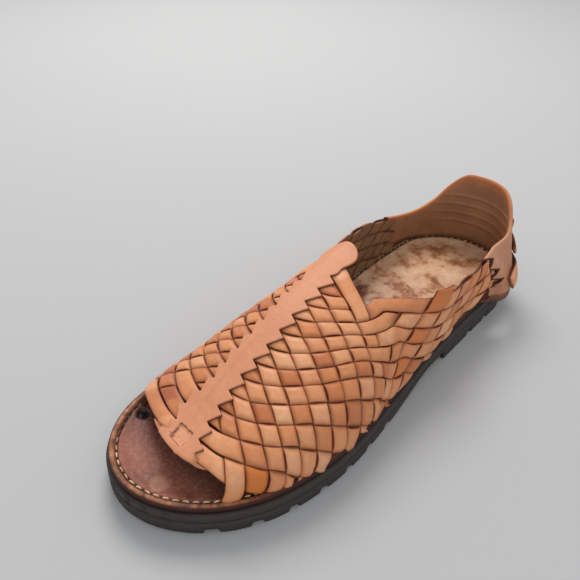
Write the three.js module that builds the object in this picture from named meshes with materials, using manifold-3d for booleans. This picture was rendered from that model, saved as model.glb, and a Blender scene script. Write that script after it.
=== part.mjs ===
// A woven leather huarache sandal, left foot, in millimetres: heel towards +Y, toe towards -Y,
// outer (lateral) side towards +X, standing on Z = 0.
//
// Everything follows two functions. edgePoint() is the outline of the sole. lastPoint() is the surface
// of the last, the foot form that the leather is worked over, and every leather wall is a strip of it.
import * as THREE from 'three';
import { mergeVertices } from 'three/addons/utils/BufferGeometryUtils.js';
import Module from 'manifold-3d';

// ---- driving dimensions ----
const length = 295;
const heelCap = 0.13; // share of the length taken by the round of the heel
const toeCap = 0.17;
const inflare = -7.9; // sideways shift of the toe's centre
const inflareStart = 0.45;
const heelHeight = 16.5; // top of the rubber at the heel
const ballHeight = 12.8; // and under the ball of the foot
const toeSpring = 2;
const springStart = 0.76;
const midsoleThickness = 5.2;
const archClearance = 7; // height of the shank over the floor
const breast = 0.345; // front of the heel block, as a share of the length from the heel
const archFront = 0.56; // where the forefoot tread starts
const insoleThickness = 3.6;
const insoleInset = 1.6; // from the edge of the rubber to the edge of the leather footbed
const footbedDish = 1.3; // how far the footbed is pressed in inside its raised rim
const rimWidth = 6;
const wall = 3; // two crossing straps make the woven wall
const counterWall = 2.6;
const bandThickness = 2.2;
const strapThickness = 2;
const gap = 0.3;
const jointT = 0.215; // where the woven quarters end and the heel counter starts

const lateral = 1;
const medial = -1;

// ---- tables: t runs from 0 at the back of the heel to 1 at the tip of the toe ----
const named = (names, rows) =>
  rows.map((row) => Object.fromEntries(names.map((name, i) => [name, row[i]])));

const outlineRows = named(['t', 'lateral', 'medial'], [
  [0.00, 35.5, 38.5],
  [0.15, 36.5, 41.8],
  [0.30, 38.8, 40.5],
  [0.42, 41.5, 38.0],
  [0.55, 47.0, 42.3],
  [0.68, 52.6, 47.3],
  [0.78, 52.2, 47.5],
  [0.88, 47.0, 45.8],
  [1.00, 42.5, 44.0],
]);

// The crest of the last: over the instep it is the ridge of the foot, behind the throat it is the leg.
const crestRows = named(['t', 'x', 'z'], [
  [0.000, -2, 150.0],
  [0.200, -2, 150.0],
  [0.300, -5, 122.0],
  [0.400, -13, 82.0],
  [0.450, -13, 71.5],
  [0.500, -13, 67.6],
  [0.544, -12, 64.5],
  [0.629, -10, 59.0],
  [0.693, -8, 53.0],
  [0.754, -7, 46.5],
  [0.805, -5, 41.0],
  [0.859, -2, 35.5],
  [0.907, 3, 31.0],
  [1.000, 8, 24.0],
]);

// Each row shapes one side's section, from the footbed up to the crest. Inset is from the sole's edge
// to the foot of the wall; lift raises that foot; bulge swells it outwards; low, lean and high place
// the curve's two handles as shares of the section's height, reach and height.
const sideColumns = ['t', 'inset', 'lift', 'bulge', 'low', 'lean', 'high'];
const sectionRows = {
  [lateral]: named(sideColumns, [
    [0.00, 4.5, 0, 0, 0.30, -0.02, 0.75],
    [0.06, 3.0, 1, 1, 0.25, 0.20, 0.60],
    [0.11, -4.0, 3, 2, 0.10, 0.75, 0.32],
    [0.16, -7.0, 4, 3, 0.08, 0.90, 0.28],
    [0.21, 0.0, 2, 3, 0.12, 0.60, 0.42],
    [0.27, 4.5, 0, 3, 0.24, 0.15, 0.65],
    [0.36, 4.5, 0, 5, 0.32, 0.02, 0.80],
    [0.46, 4.5, 0, 6, 0.48, 0.25, 0.95],
    [0.56, 5.0, 0, 4, 0.55, 0.36, 1.00],
    [0.70, 5.0, 0, 3, 0.60, 0.36, 1.00],
    [0.85, 5.5, 0, 2, 0.62, 0.34, 1.00],
    [1.00, 6.0, 0, 2, 0.65, 0.34, 1.00],
  ]),
  [medial]: named(sideColumns, [
    [0.00, 4.5, 0, 0, 0.30, -0.02, 0.75],
    [0.06, 4.5, 0, 0, 0.30, 0.05, 0.70],
    [0.11, 3.5, 1, 1, 0.20, 0.20, 0.55],
    [0.16, 2.5, 2, 3, 0.20, 0.15, 0.55],
    [0.21, 3.5, 1, 5, 0.25, 0.05, 0.60],
    [0.27, 4.5, 0, 6, 0.30, -0.05, 0.70],
    [0.36, 4.5, 0, 6, 0.30, 0.00, 0.80],
    [0.46, 4.5, 0, 4, 0.48, 0.20, 0.92],
    [0.56, 5.0, 0, 2, 0.50, 0.42, 0.95],
    [0.70, 5.0, 0, 0, 0.52, 0.48, 0.97],
    [0.85, 5.5, 0, 0, 0.55, 0.45, 1.00],
    [1.00, 6.0, 0, 0, 0.60, 0.40, 1.00],
  ]),
};

// Height of the collar along each side, back to the centre of the heel at t = 0.
const collarRows = named(['t', 'lateral', 'medial'], [
  [0.000, 71.0, 71.0],
  [0.015, 70.0, 70.0],
  [0.040, 65.0, 60.0],
  [0.060, 58.0, 51.0],
  [0.090, 52.0, 45.0],
  [0.130, 49.5, 43.0],
  [0.170, 49.0, 44.5],
  [0.230, 48.5, 50.0],
  [0.290, 49.0, 54.5],
  [0.360, 51.5, 57.0],
  [0.430, 56.0, 58.5],
  [0.490, 60.0, 62.0],
  [0.530, 62.0, 64.0],
]);

// The open toe and the throat cross the foot on a slant: t at the outer foot, the crest, the inner foot.
const toeEdge = { lateral: 0.905, crest: 0.932, medial: 0.863 };
const throatEdge = { lateral: 0.525, crest: 0.505, medial: 0.480 };

// The centre band, from the open toe to its free round tip over the instep: half widths each side.
const bandRows = named(['t', 'lateral', 'medial'], [
  [0.450, 12, 11],
  [0.500, 13, 12],
  [0.600, 11, 12],
  [0.750, 9, 11],
  [0.860, 9, 13],
  [0.940, 12, 16],
]);
const bandTip = 0.452;
const bandTipRound = 0.05; // share of the length over which the tip is round
const bandSetback = 0.004; // from the edge of the open toe

// ---- curves through the tables ----
// A smooth curve through one column: a cubic between rows, with the mean slope of its neighbours.
function curve(rows, name) {
  const slope = rows.map((row, i) => {
    const before = rows[Math.max(i - 1, 0)];
    const after = rows[Math.min(i + 1, rows.length - 1)];
    return (after[name] - before[name]) / (after.t - before.t);
  });
  return (t) => {
    let i = rows.findIndex((row) => row.t >= t);
    if (i < 0) i = rows.length - 1;
    i = Math.max(i, 1);
    const [a, b] = [rows[i - 1], rows[i]];
    const step = b.t - a.t;
    const s = THREE.MathUtils.clamp((t - a.t) / step, 0, 1);
    const h = s * s * (3 - 2 * s);
    const rise = step * s * (1 - s);
    return a[name] * (1 - h) + b[name] * h + rise * ((1 - s) * slope[i - 1] - s * slope[i]);
  };
}

const curves = (rows, names) => Object.fromEntries(names.map((name) => [name, curve(rows, name)]));
const outlineAt = curves(outlineRows, ['lateral', 'medial']);
const crestAt = curves(crestRows, ['x', 'z']);
const collarAt = curves(collarRows, ['lateral', 'medial']);
const bandAt = curves(bandRows, ['lateral', 'medial']);
const sectionAt = {
  [lateral]: curves(sectionRows[lateral], sideColumns.slice(1)),
  [medial]: curves(sectionRows[medial], sideColumns.slice(1)),
};
const sideName = (side) => (side === lateral ? 'lateral' : 'medial');

const yAt = (t) => length * (0.5 - t);
const tAt = (turn) => (1 - Math.cos(Math.PI * turn)) / 2; // even steps of turn crowd towards both ends
const turnAt = (t) => Math.acos(1 - 2 * t) / Math.PI;
const spread = (count) => Array.from({ length: count + 1 }, (_, i) => i / count);

// ---- the sole's outline and levels ----
function roundEnds(t) {
  const heel = Math.max(0, (heelCap - t) / heelCap);
  const toe = Math.max(0, (t - 1 + toeCap) / toeCap);
  return Math.sqrt(Math.max(0, 1 - heel * heel)) * Math.sqrt(Math.max(0, 1 - toe * toe));
}

function rawEdge(side, turn) {
  if (turn < 0) return rawEdge(-side, -turn);
  if (turn > 1) return rawEdge(-side, 2 - turn);
  const t = tAt(turn);
  const shift = inflare * Math.max(0, (t - inflareStart) / (1 - inflareStart)) ** 2;
  return new THREE.Vector2(side * outlineAt[sideName(side)](t) * roundEnds(t) + shift, yAt(t));
}

// A point on the outline, moved inwards by inset.
function edgePoint(side, turn, inset = 0) {
  const near = 0.004; // turn to each side, for the outline's direction
  const along = rawEdge(side, turn + near).sub(rawEdge(side, turn - near)).normalize();
  const inwards = new THREE.Vector2(along.y, -along.x).multiplyScalar(side);
  return rawEdge(side, turn).addScaledVector(inwards, inset);
}

const spring = (t) => toeSpring * Math.max(0, (t - springStart) / (1 - springStart)) ** 2;
const slope = { start: 0.25, end: 0.58 }; // where the rubber's top runs down from heel to ball
const slopeDown = (t) => 1 - THREE.MathUtils.smoothstep(t, slope.start, slope.end);
const rubberTop = (t) => ballHeight + (heelHeight - ballHeight) * slopeDown(t) + spring(t);
const outsoleTop = (t) => rubberTop(t) - midsoleThickness;
const insoleBottom = (t) => rubberTop(t) + gap;
const insoleTop = (t) => insoleBottom(t) + insoleThickness;
const footbed = (t) => insoleTop(t) + gap;

// ---- meshes ----
const pointsPerMillimetre = 500; // points closer together than this are one point

// Joins two grids of the same layout, an upper and a lower skin, into one closed solid. A cell exists
// where keep says so, and every edge that only one cell uses is walled from skin to skin.
function thicken(upper, lower, keep = () => true) {
  const points = [];
  const faces = [];
  const ids = new Map();
  const idOf = (p) => {
    const key = p.toArray().map((v) => Math.round(v * pointsPerMillimetre)).join();
    if (!ids.has(key)) {
      ids.set(key, points.length);
      points.push(p);
    }
    return ids.get(key);
  };
  const triangle = (...corners) => {
    const ids3 = corners.map(idOf);
    if (new Set(ids3).size === 3) faces.push(ids3);
  };
  const quad = (a, b, c, d) => {
    triangle(a, b, c);
    triangle(a, c, d);
  };
  const border = new Map();
  const useEdge = (from, to) => {
    const back = `${to}|${from}`;
    if (border.has(back)) border.delete(back);
    else border.set(`${from}|${to}`, [from, to]);
  };
  for (let i = 0; i + 1 < upper.length; i++) {
    for (let j = 0; j + 1 < upper[i].length; j++) {
      if (!keep(i, j)) continue;
      const ring = [[i, j], [i + 1, j], [i + 1, j + 1], [i, j + 1]];
      quad(...ring.map(([a, b]) => upper[a][b]));
      quad(...ring.map(([a, b]) => lower[a][b]).reverse());
      ring.forEach((corner, k) => useEdge(corner, ring[(k + 1) % 4]));
    }
  }
  for (const [[a, b], [c, d]] of border.values()) {
    quad(lower[a][b], lower[c][d], upper[c][d], upper[a][b]);
  }
  return closedGeometry(points, faces);
}

// A geometry whose faces point out, whichever way round the grid ran.
function closedGeometry(points, faces) {
  const volume = faces.reduce((sum, [a, b, c]) => {
    const cross = new THREE.Vector3().crossVectors(points[b], points[c]);
    return sum + points[a].dot(cross);
  }, 0);
  const index = faces.flatMap(([a, b, c]) => (volume < 0 ? [a, c, b] : [a, b, c]));
  const geometry = new THREE.BufferGeometry().setFromPoints(points);
  geometry.setIndex(index);
  return geometry;
}

const mergeTolerance = 1e-4;
const wasm = await Module();
wasm.setup();

function toSolid(geometry) {
  const bare = geometry.clone();
  bare.deleteAttribute('normal');
  bare.deleteAttribute('uv');
  const merged = mergeVertices(bare, mergeTolerance);
  return new wasm.Manifold(new wasm.Mesh({
    numProp: 3,
    vertProperties: new Float32Array(merged.attributes.position.array),
    triVerts: new Uint32Array(merged.index.array),
  }));
}

function toGeometry(solid) {
  const mesh = solid.getMesh();
  const geometry = new THREE.BufferGeometry();
  geometry.setAttribute('position', new THREE.BufferAttribute(mesh.vertProperties, 3));
  geometry.setIndex(new THREE.BufferAttribute(mesh.triVerts, 1));
  return geometry;
}

function cut(geometry, tools) {
  const solid = tools.map(toSolid).reduce((left, tool) => left.subtract(tool), toSolid(geometry));
  return toGeometry(solid);
}

// One layer of the sole, between a bottom and a top level, with its own insets from the outline.
function layer({ turns, across, bottomInset, topInset, bottom, top }) {
  const skin = (inset, level) => turns.map((turn) => {
    const inner = edgePoint(medial, turn, inset);
    const outer = edgePoint(lateral, turn, inset);
    return spread(across).map((share) => {
      const p = inner.clone().lerp(outer, share);
      const fromRim = Math.min(share, 1 - share) * inner.distanceTo(outer);
      return new THREE.Vector3(p.x, p.y, level(tAt(turn), fromRim));
    });
  });
  return thicken(skin(topInset, top), skin(bottomInset, bottom));
}

// ---- the last ----
// The foot of the wall and the crest above it. Round the heel every section leans to one leg axis.
const legAxisT = 0.2;

function section(side, t) {
  const shape = Object.fromEntries(
    Object.entries(sectionAt[side]).map(([name, at]) => [name, at(t)]),
  );
  const foot = edgePoint(side, turnAt(t), shape.inset);
  const axisT = Math.max(t, legAxisT);
  const crest = new THREE.Vector2(crestAt.x(axisT), t < legAxisT ? yAt(legAxisT) : foot.y);
  const z = footbed(t) + shape.lift;
  return { ...shape, foot, crest, z, reach: foot.distanceTo(crest), rise: crestAt.z(t) - z };
}

// A point on the last: climb is 0 at the footbed and 1 at the crest.
function lastPoint(side, t, climb) {
  const s = section(side, t);
  const inwards = s.crest.clone().sub(s.foot).normalize();
  const near = 3 * (1 - climb) ** 2 * climb;
  const far = 3 * (1 - climb) * climb ** 2;
  const end = climb ** 3;
  const reach = -near * s.bulge + far * s.lean * s.reach + end * s.reach;
  const rise = near * s.low * s.rise + far * s.high * s.rise + end * s.rise;
  const p = s.foot.clone().addScaledVector(inwards, reach);
  return new THREE.Vector3(p.x, p.y, s.z + rise);
}

function lastNormal(side, t, climb) {
  const [dt, dc] = [0.002, 0.004]; // steps along the foot and up the section
  const low = Math.max(t - dt, dt / 4);
  const c = THREE.MathUtils.clamp(climb, dc, 1 - dc);
  const alongT = lastPoint(side, t + dt, c).sub(lastPoint(side, low, c));
  const alongC = lastPoint(side, t, c + dc).sub(lastPoint(side, t, c - dc));
  return alongC.cross(alongT).multiplyScalar(side).normalize();
}

// The last's surface moved outwards by offset, never below the footbed.
function offsetPoint({ side, t, climb }, offset) {
  const p = lastPoint(side, t, climb).addScaledVector(lastNormal(side, t, climb), offset);
  p.z = Math.max(p.z, footbed(t));
  return p;
}

// Where a test that is true low down turns false, found by halving the interval.
const halvings = 30;

function turningPoint(low, high, isBelow) {
  for (let i = 0; i < halvings; i++) {
    const middle = (low + high) / 2;
    if (isBelow(middle)) low = middle;
    else high = middle;
  }
  return (low + high) / 2;
}

// The climb at which a section reaches a height.
const climbTo = (side, t, z) => turningPoint(0, 1, (climb) => lastPoint(side, t, climb).z < z);

const collarClimb = (side, t) => climbTo(side, t, collarAt[sideName(side)](t));

// Two skins a wall's thickness apart, each side of a grid of places on the last.
function leather(places, inner, outer, keep) {
  const skin = (offset) => places.map((row) => row.map((place) => offsetPoint(place, offset)));
  return thicken(skin(outer), skin(inner), keep);
}

// ---- the woven upper: vamp over the foot, and a quarter down each side to the counter ----
const vampRows = 18;
const quarterRows = 13;
const wallColumns = 8; // from the footbed to the collar
const topColumns = 5; // from the collar's line to the crest

function upper() {
  const cornerClimb = {
    [lateral]: collarClimb(lateral, throatEdge.lateral),
    [medial]: collarClimb(medial, throatEdge.medial),
  };
  const slant = (ends, side, climb) =>
    THREE.MathUtils.lerp(ends[sideName(side)], ends.crest, Math.sin((climb * Math.PI) / 2));
  const vampPlace = (side, climb, share) => {
    const front = slant(toeEdge, side, climb);
    const back = throatAt(side, climb);
    return { side, climb, t: THREE.MathUtils.lerp(front, back, share) };
  };
  // The throat runs straight across between its corners, and square down each side below them.
  const throatAt = (side, climb) => {
    const over = Math.max(0, (climb - cornerClimb[side]) / (1 - cornerClimb[side]));
    return THREE.MathUtils.lerp(throatEdge[sideName(side)], throatEdge.crest, over);
  };
  const columns = (side) => {
    const corner = cornerClimb[side];
    const below = spread(wallColumns).map((s) => s * corner);
    const above = spread(topColumns).slice(1).map((s) => corner + s * (1 - corner));
    return [...below, ...above];
  };
  const across = [
    ...columns(lateral).map((climb, k) => ({ side: lateral, climb, k })),
    ...columns(medial).map((climb, k) => ({ side: medial, climb, k })).slice(0, -1).reverse(),
  ];
  const vamp = spread(vampRows).map((share) =>
    across.map(({ side, climb }) => vampPlace(side, climb, share)));
  const quarter = spread(quarterRows).slice(1).map((share) =>
    across.map(({ side, climb, k }) => {
      const t = THREE.MathUtils.lerp(throatAt(side, climb), jointT + gap / length, share);
      const low = Math.min(k, wallColumns) / wallColumns;
      return { side, t, climb: low * collarClimb(side, t) };
    }));
  const last = across.length - 1;
  const keep = (i, j) => i < vampRows || j < wallColumns || j >= last - wallColumns;
  return leather([...vamp, ...quarter], -wall / 2, wall / 2, keep);
}

// ---- the heel counter: one smooth piece round the back, side to side ----
const counterRows = 8;
const counterSteps = 18; // each side

function aroundHeel(steps, endT) {
  const endTurn = turnAt(endT);
  const heelTip = 1e-5; // just off t = 0, where the two sides meet
  const half = (side) => spread(steps).map((s) => ({ side, t: Math.max(tAt(s * endTurn), heelTip) }));
  return [...half(lateral).reverse(), ...half(medial).slice(1)];
}

function counter() {
  const places = aroundHeel(counterSteps, jointT).map(({ side, t }) => {
    const top = collarClimb(side, t);
    return spread(counterRows).map((s) => ({ side, t, climb: s * top }));
  });
  return leather(places, -counterWall / 2, counterWall / 2);
}

// ---- the straps that run on from the weave and cross the outside of the counter ----
const backStraps = 3;
const backStrapHeight = 9;
const backStrapPitch = 10.5;
const backStrapBase = 24.5; // lower edge of the lowest strap
const backStrapEnds = [0.15, 0.08, 0.035]; // t where each one leaves the counter's sides
const backStrapSteps = 12; // each side
const strapClearance = 0.8; // the counter is faceted, so the straps clear its corners

function backStrap(number) {
  const bottom = backStrapBase + number * backStrapPitch;
  const places = aroundHeel(backStrapSteps, backStrapEnds[number]).map(({ side, t }) =>
    spread(2).map((s) => ({ side, t, climb: climbTo(side, t, bottom + s * backStrapHeight) })));
  const inner = counterWall / 2 + strapClearance;
  return leather(places, inner, inner + strapThickness);
}

// ---- the centre band, standing proud of the weave along the crest ----
const bandSteps = 22;
const bandColumns = 4; // each side of the crest

// Climb at which a section lies a given distance from its crest.
const lowestBandClimb = 0.3;

function climbAside(side, t, distance) {
  const crest = lastPoint(side, t, 1);
  const isFar = (climb) => lastPoint(side, t, climb).distanceTo(crest) > distance;
  return turningPoint(lowestBandClimb, 1, isFar);
}

function band() {
  const crowding = 1.25; // more steps near the round tip
  const bluntness = 0.05; // the tip ends in a short flat
  const places = spread(bandSteps).map((s) => {
    const t = THREE.MathUtils.lerp(bandTip, toeEdge.crest - bandSetback, s ** crowding);
    const fromTip = Math.min(1, (t - bandTip) / bandTipRound);
    const round = Math.max(bluntness, Math.sqrt(1 - (1 - fromTip) ** 2));
    const half = (side) => spread(bandColumns).map((k) =>
      ({ side, t, climb: climbAside(side, t, k * round * bandAt[sideName(side)](t)) }));
    return [...half(lateral).reverse(), ...half(medial).slice(1)];
  });
  const inner = wall / 2 + gap;
  return leather(places, inner, inner + bandThickness);
}

// ---- the sole ----
const lugPitch = 17.8;
const lugDepth = 3.2;
const lugWidth = 5;
const lugReach = 17; // how far a groove runs in from the edge
const lugSkew = 0.16; // radians
const heelGrooves = [0.1, 0.17, 0.24];
const barLength = 26;
const grooveOverhang = 8; // of a groove's cutter, half of it past the sole's edge
const firstGroove = 0.93;
const breastStep = 0.004; // the breast of the heel is nearly upright
const archEase = 0.06; // between the breast and the highest part of the shank
const soleSteps = { outsole: 40, midsole: 36, insole: 40 };
const soleAcross = { outsole: 6, midsole: 4, insole: 12 };
const edgeRounding = { outsole: 0.8, midsole: 0.4, insole: 0.4 };

function box(x, y, z, width, depth, height, turn = 0) {
  const geometry = new THREE.BoxGeometry(width, depth, height);
  geometry.rotateZ(turn);
  geometry.translate(x, y, z);
  return geometry;
}

function outsole() {
  const breastTurns = [turnAt(breast - breastStep), turnAt(breast + breastStep)];
  const turns = [...spread(soleSteps.outsole), ...breastTurns].sort((a, b) => a - b);
  const tread = (t) => {
    if (t <= breast) return spring(t);
    const arch = 1 - THREE.MathUtils.smoothstep(t, breast + archEase, archFront);
    return archClearance * arch + spring(t);
  };
  const slab = layer({
    turns, across: soleAcross.outsole, bottomInset: edgeRounding.outsole, topInset: 0,
    bottom: tread, top: outsoleTop,
  });
  const grooves = [];
  const groove = (side, t) => {
    const edge = edgePoint(side, turnAt(t));
    const x = edge.x - (side * (lugReach - grooveOverhang)) / 2;
    const cutterLength = lugReach + grooveOverhang;
    grooves.push(box(x, edge.y, spring(t), cutterLength, lugWidth, lugDepth * 2, side * lugSkew));
  };
  for (let y = yAt(firstGroove); y < yAt(archFront); y += lugPitch) {
    groove(lateral, 0.5 - y / length);
    groove(medial, 0.5 - y / length);
  }
  for (const t of heelGrooves) {
    groove(lateral, t);
    groove(medial, t);
  }
  // Short bars across the middle of the tread, half a pitch behind the edge grooves.
  for (let y = yAt(firstGroove) + lugPitch / 2; y < yAt(archFront); y += lugPitch) {
    const t = 0.5 - y / length;
    const middle = edgePoint(lateral, turnAt(t)).add(edgePoint(medial, turnAt(t))).x / 2;
    grooves.push(box(middle, y, spring(t), barLength, lugWidth, lugDepth * 2));
  }
  return cut(slab, grooves);
}

function midsole() {
  return layer({
    turns: spread(soleSteps.midsole), across: soleAcross.midsole,
    bottomInset: edgeRounding.midsole, topInset: 0,
    bottom: (t) => outsoleTop(t) + gap, top: rubberTop,
  });
}

const toeHole = { x: -37, y: -114, radius: 3.2, sides: 12, drillLength: 60 };
const dishEase = 5; // from the rim down into the dish

function insole() {
  const dish = (fromRim) => footbedDish * THREE.MathUtils.smoothstep(fromRim, rimWidth, rimWidth + dishEase);
  const slab = layer({
    turns: spread(soleSteps.insole), across: soleAcross.insole,
    bottomInset: insoleInset, topInset: insoleInset + edgeRounding.insole,
    bottom: insoleBottom, top: (t, fromRim) => insoleTop(t) - dish(fromRim),
  });
  const { radius, sides, drillLength } = toeHole;
  const drill = new THREE.CylinderGeometry(radius, radius, drillLength, sides);
  drill.rotateX(Math.PI / 2);
  drill.translate(toeHole.x, toeHole.y, 0);
  return cut(slab, [drill]);
}

// ---- assembly ----
const leatherTan = new THREE.MeshStandardMaterial({ color: 0xb87249, roughness: 0.55 });
const leatherBrown = new THREE.MeshStandardMaterial({ color: 0x9a6a48, roughness: 0.65 });
const footbedBrown = new THREE.MeshStandardMaterial({ color: 0x6b3a2a, roughness: 0.6 });
const rubber = new THREE.MeshStandardMaterial({ color: 0x23262a, roughness: 0.8 });

const sandal = new THREE.Group();

function add(name, geometry, material) {
  geometry.computeVertexNormals();
  const mesh = new THREE.Mesh(geometry, material);
  mesh.name = name;
  sandal.add(mesh);
}

add('outsole', outsole(), rubber);
add('midsole', midsole(), rubber);
add('insole', insole(), footbedBrown);
add('upper', upper(), leatherTan);
add('centre_band', band(), leatherTan);
add('heel_counter', counter(), leatherBrown);
for (let number = 0; number < backStraps; number++) {
  add(`back_strap_${number + 1}`, backStrap(number), leatherTan);
}

// The group's frame has its origin at the centre of the sandal's box, on the floor.
const bounds = new THREE.Box3().setFromObject(sandal);
const centre = bounds.getCenter(new THREE.Vector3());
sandal.children.forEach((mesh) => mesh.position.set(-centre.x, -centre.y, -bounds.min.z));

export default sandal;
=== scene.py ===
# %% [markdown]
# A woven leather huarache sandal, left foot.
# A maker of huaraches starts from a last, a wooden form of the foot. Flat straps are woven straight onto
# it, through slits in one smooth centre band, and the ends are tucked under a leather footbed. A rubber
# sole goes on at the end. Nearly every piece here is worked out from that one form, the last.
#
# Blender works in metres and the sandal is described in millimetres, so one constant links the two.

# %% Load the frame
import math

import bpy
import numpy as np
from mathutils import Matrix, Vector


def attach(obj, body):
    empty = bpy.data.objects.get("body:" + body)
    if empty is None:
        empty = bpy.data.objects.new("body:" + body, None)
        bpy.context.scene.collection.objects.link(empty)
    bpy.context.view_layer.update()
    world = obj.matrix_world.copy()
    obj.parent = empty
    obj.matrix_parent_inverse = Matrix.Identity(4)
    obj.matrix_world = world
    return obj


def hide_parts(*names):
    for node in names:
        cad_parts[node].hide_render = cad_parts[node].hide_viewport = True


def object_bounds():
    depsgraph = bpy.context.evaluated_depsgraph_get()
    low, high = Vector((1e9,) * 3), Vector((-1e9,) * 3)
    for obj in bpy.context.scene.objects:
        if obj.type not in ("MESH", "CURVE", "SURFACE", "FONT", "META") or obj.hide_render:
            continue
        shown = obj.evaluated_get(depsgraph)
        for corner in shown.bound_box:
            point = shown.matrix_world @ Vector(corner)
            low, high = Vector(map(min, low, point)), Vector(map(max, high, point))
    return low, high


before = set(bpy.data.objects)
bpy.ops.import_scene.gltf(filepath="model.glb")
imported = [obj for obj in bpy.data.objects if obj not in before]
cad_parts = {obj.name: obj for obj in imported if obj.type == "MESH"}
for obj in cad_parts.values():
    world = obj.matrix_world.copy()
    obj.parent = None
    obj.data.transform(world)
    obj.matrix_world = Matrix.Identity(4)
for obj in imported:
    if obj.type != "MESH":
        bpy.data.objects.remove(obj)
cad_low, cad_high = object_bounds()
MM = 0.001
LENGTH = (cad_high.y - cad_low.y) / MM
BODY = "root"
print("CAD box in mm:", [round(side / MM, 1) for side in cad_high - cad_low])

# %% [markdown]
# The camera looks down on the outer side of the toe. It stands at a fixed place and is turned by an azimuth
# and an elevation, as the head of a tripod is, with a small roll. The shift slides the view across the
# sensor without turning the lens.

# %% Camera
AZIMUTH, ELEVATION, ROLL = (math.radians(angle) for angle in (44.16, 37.584, 1.426))
CAMERA_AT = Vector((0.1573, -0.2175, 0.2574))
SENSOR, FOCAL_LENGTH = 36, 38.508  # mm
SHIFT = (0.01803, 0.00193)  # in widths of the sensor
NEAREST, FARTHEST = 0.01, 20

backwards = Vector((
    math.sin(AZIMUTH) * math.cos(ELEVATION),
    -math.cos(AZIMUTH) * math.cos(ELEVATION),
    math.sin(ELEVATION),
))
level_right = Vector((math.cos(AZIMUTH), math.sin(AZIMUTH), 0))
level_up = backwards.cross(level_right)
right = level_right * math.cos(ROLL) + level_up * math.sin(ROLL)
up = level_up * math.cos(ROLL) - level_right * math.sin(ROLL)

lens = bpy.data.cameras.new("camera")
lens.sensor_width = SENSOR
lens.lens = FOCAL_LENGTH
lens.shift_x, lens.shift_y = SHIFT
lens.clip_start, lens.clip_end = NEAREST, FARTHEST
camera = bpy.data.objects.new("camera", lens)
camera.matrix_world = Matrix.Translation(CAMERA_AT) @ Matrix((right, up, backwards)).transposed().to_4x4()
bpy.context.scene.collection.objects.link(camera)
bpy.context.scene.camera = camera
print("camera", [round(x, 4) for x in camera.location], "lens", round(lens.lens, 2), "mm")

# %% [markdown]
# A material is a small calculation made of nodes. Written as plain Python it reads like arithmetic, so this
# class wraps one output socket and turns +, - and * into Math nodes. Colours and vectors have methods of
# their own, because a Math node would turn a colour grey. The same class builds the stitches' tree.

# %% Shader arithmetic
def put(value, socket):
    """Sets a socket to a number or tuple, or links a wrapped output to it."""
    if isinstance(value, Wire):
        value.tree.links.new(value.socket, socket)
    elif value is not None:
        socket.default_value = value


class Wire:
    """One output of a node, with arithmetic."""

    def __init__(self, tree, socket):
        self.tree = tree
        self.socket = socket

    def node(self, kind, inputs=(), output=0, ramp=None, **settings):
        """Adds a node of that kind, sets it up, feeds its inputs and wraps one output."""
        made = self.tree.nodes.new(kind)
        for name, value in settings.items():
            setattr(made, name, value)
        if ramp:
            stops = made.color_ramp.elements
            while len(stops) < len(ramp):
                stops.new(0.5)
            for stop, (position, colour) in zip(stops, ramp):
                stop.position = position
                stop.color = (*colour, 1)
        pairs = inputs.items() if isinstance(inputs, dict) else enumerate(inputs)
        for name, value in pairs:
            put(value, made.inputs[name])
        return Wire(self.tree, made.outputs[output])

    def math(self, operation, *values):
        return self.node("ShaderNodeMath", values, operation=operation)

    def __add__(self, other):
        return self.math("ADD", self, other)

    def __sub__(self, other):
        return self.math("SUBTRACT", self, other)

    def __mul__(self, other):
        return self.math("MULTIPLY", self, other)

    def __rsub__(self, other):
        return self.math("SUBTRACT", other, self)

    __radd__ = __add__
    __rmul__ = __mul__

    def clamp(self):
        return self.node("ShaderNodeClamp", (self, 0.0, 1.0))

    def ease(self, low, high):
        """0 below low, 1 above high and a smooth step between."""
        return self.node("ShaderNodeMapRange", (self, low, high, 0.0, 1.0), interpolation_type="SMOOTHSTEP")

    def ramp(self, *stops):
        return self.node("ShaderNodeValToRGB", (self,), ramp=stops)

    def mix(self, first, second):
        """From first to second as this value goes from 0 to 1."""
        return self.node(
            "ShaderNodeMix", {0: self, 6: colour4(first), 7: colour4(second)}, output=2, data_type="RGBA",
        )

    def scaled(self, x, y, z):
        return self.node("ShaderNodeVectorMath", (self, (x, y, z)), operation="MULTIPLY")

    def noise(self, scale, detail=3.0, rough=0.5, warp=0.0):
        inputs = {"Vector": self, "Scale": scale, "Detail": detail, "Roughness": rough, "Distortion": warp}
        return self.node("ShaderNodeTexNoise", inputs)

    def cells(self, scale):
        return self.node("ShaderNodeTexVoronoi", {"Vector": self, "Scale": scale})


def colour4(value):
    return (*value, 1) if isinstance(value, tuple) else value


def srgb(code):
    """A colour given as a hex code, in the linear numbers that Blender works with."""
    parts = [int(code[i:i + 2], 16) / 255 for i in (0, 2, 4)]
    return tuple(p / 12.92 if p <= 0.04045 else ((p + 0.055) / 1.055) ** 2.4 for p in parts)


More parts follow.
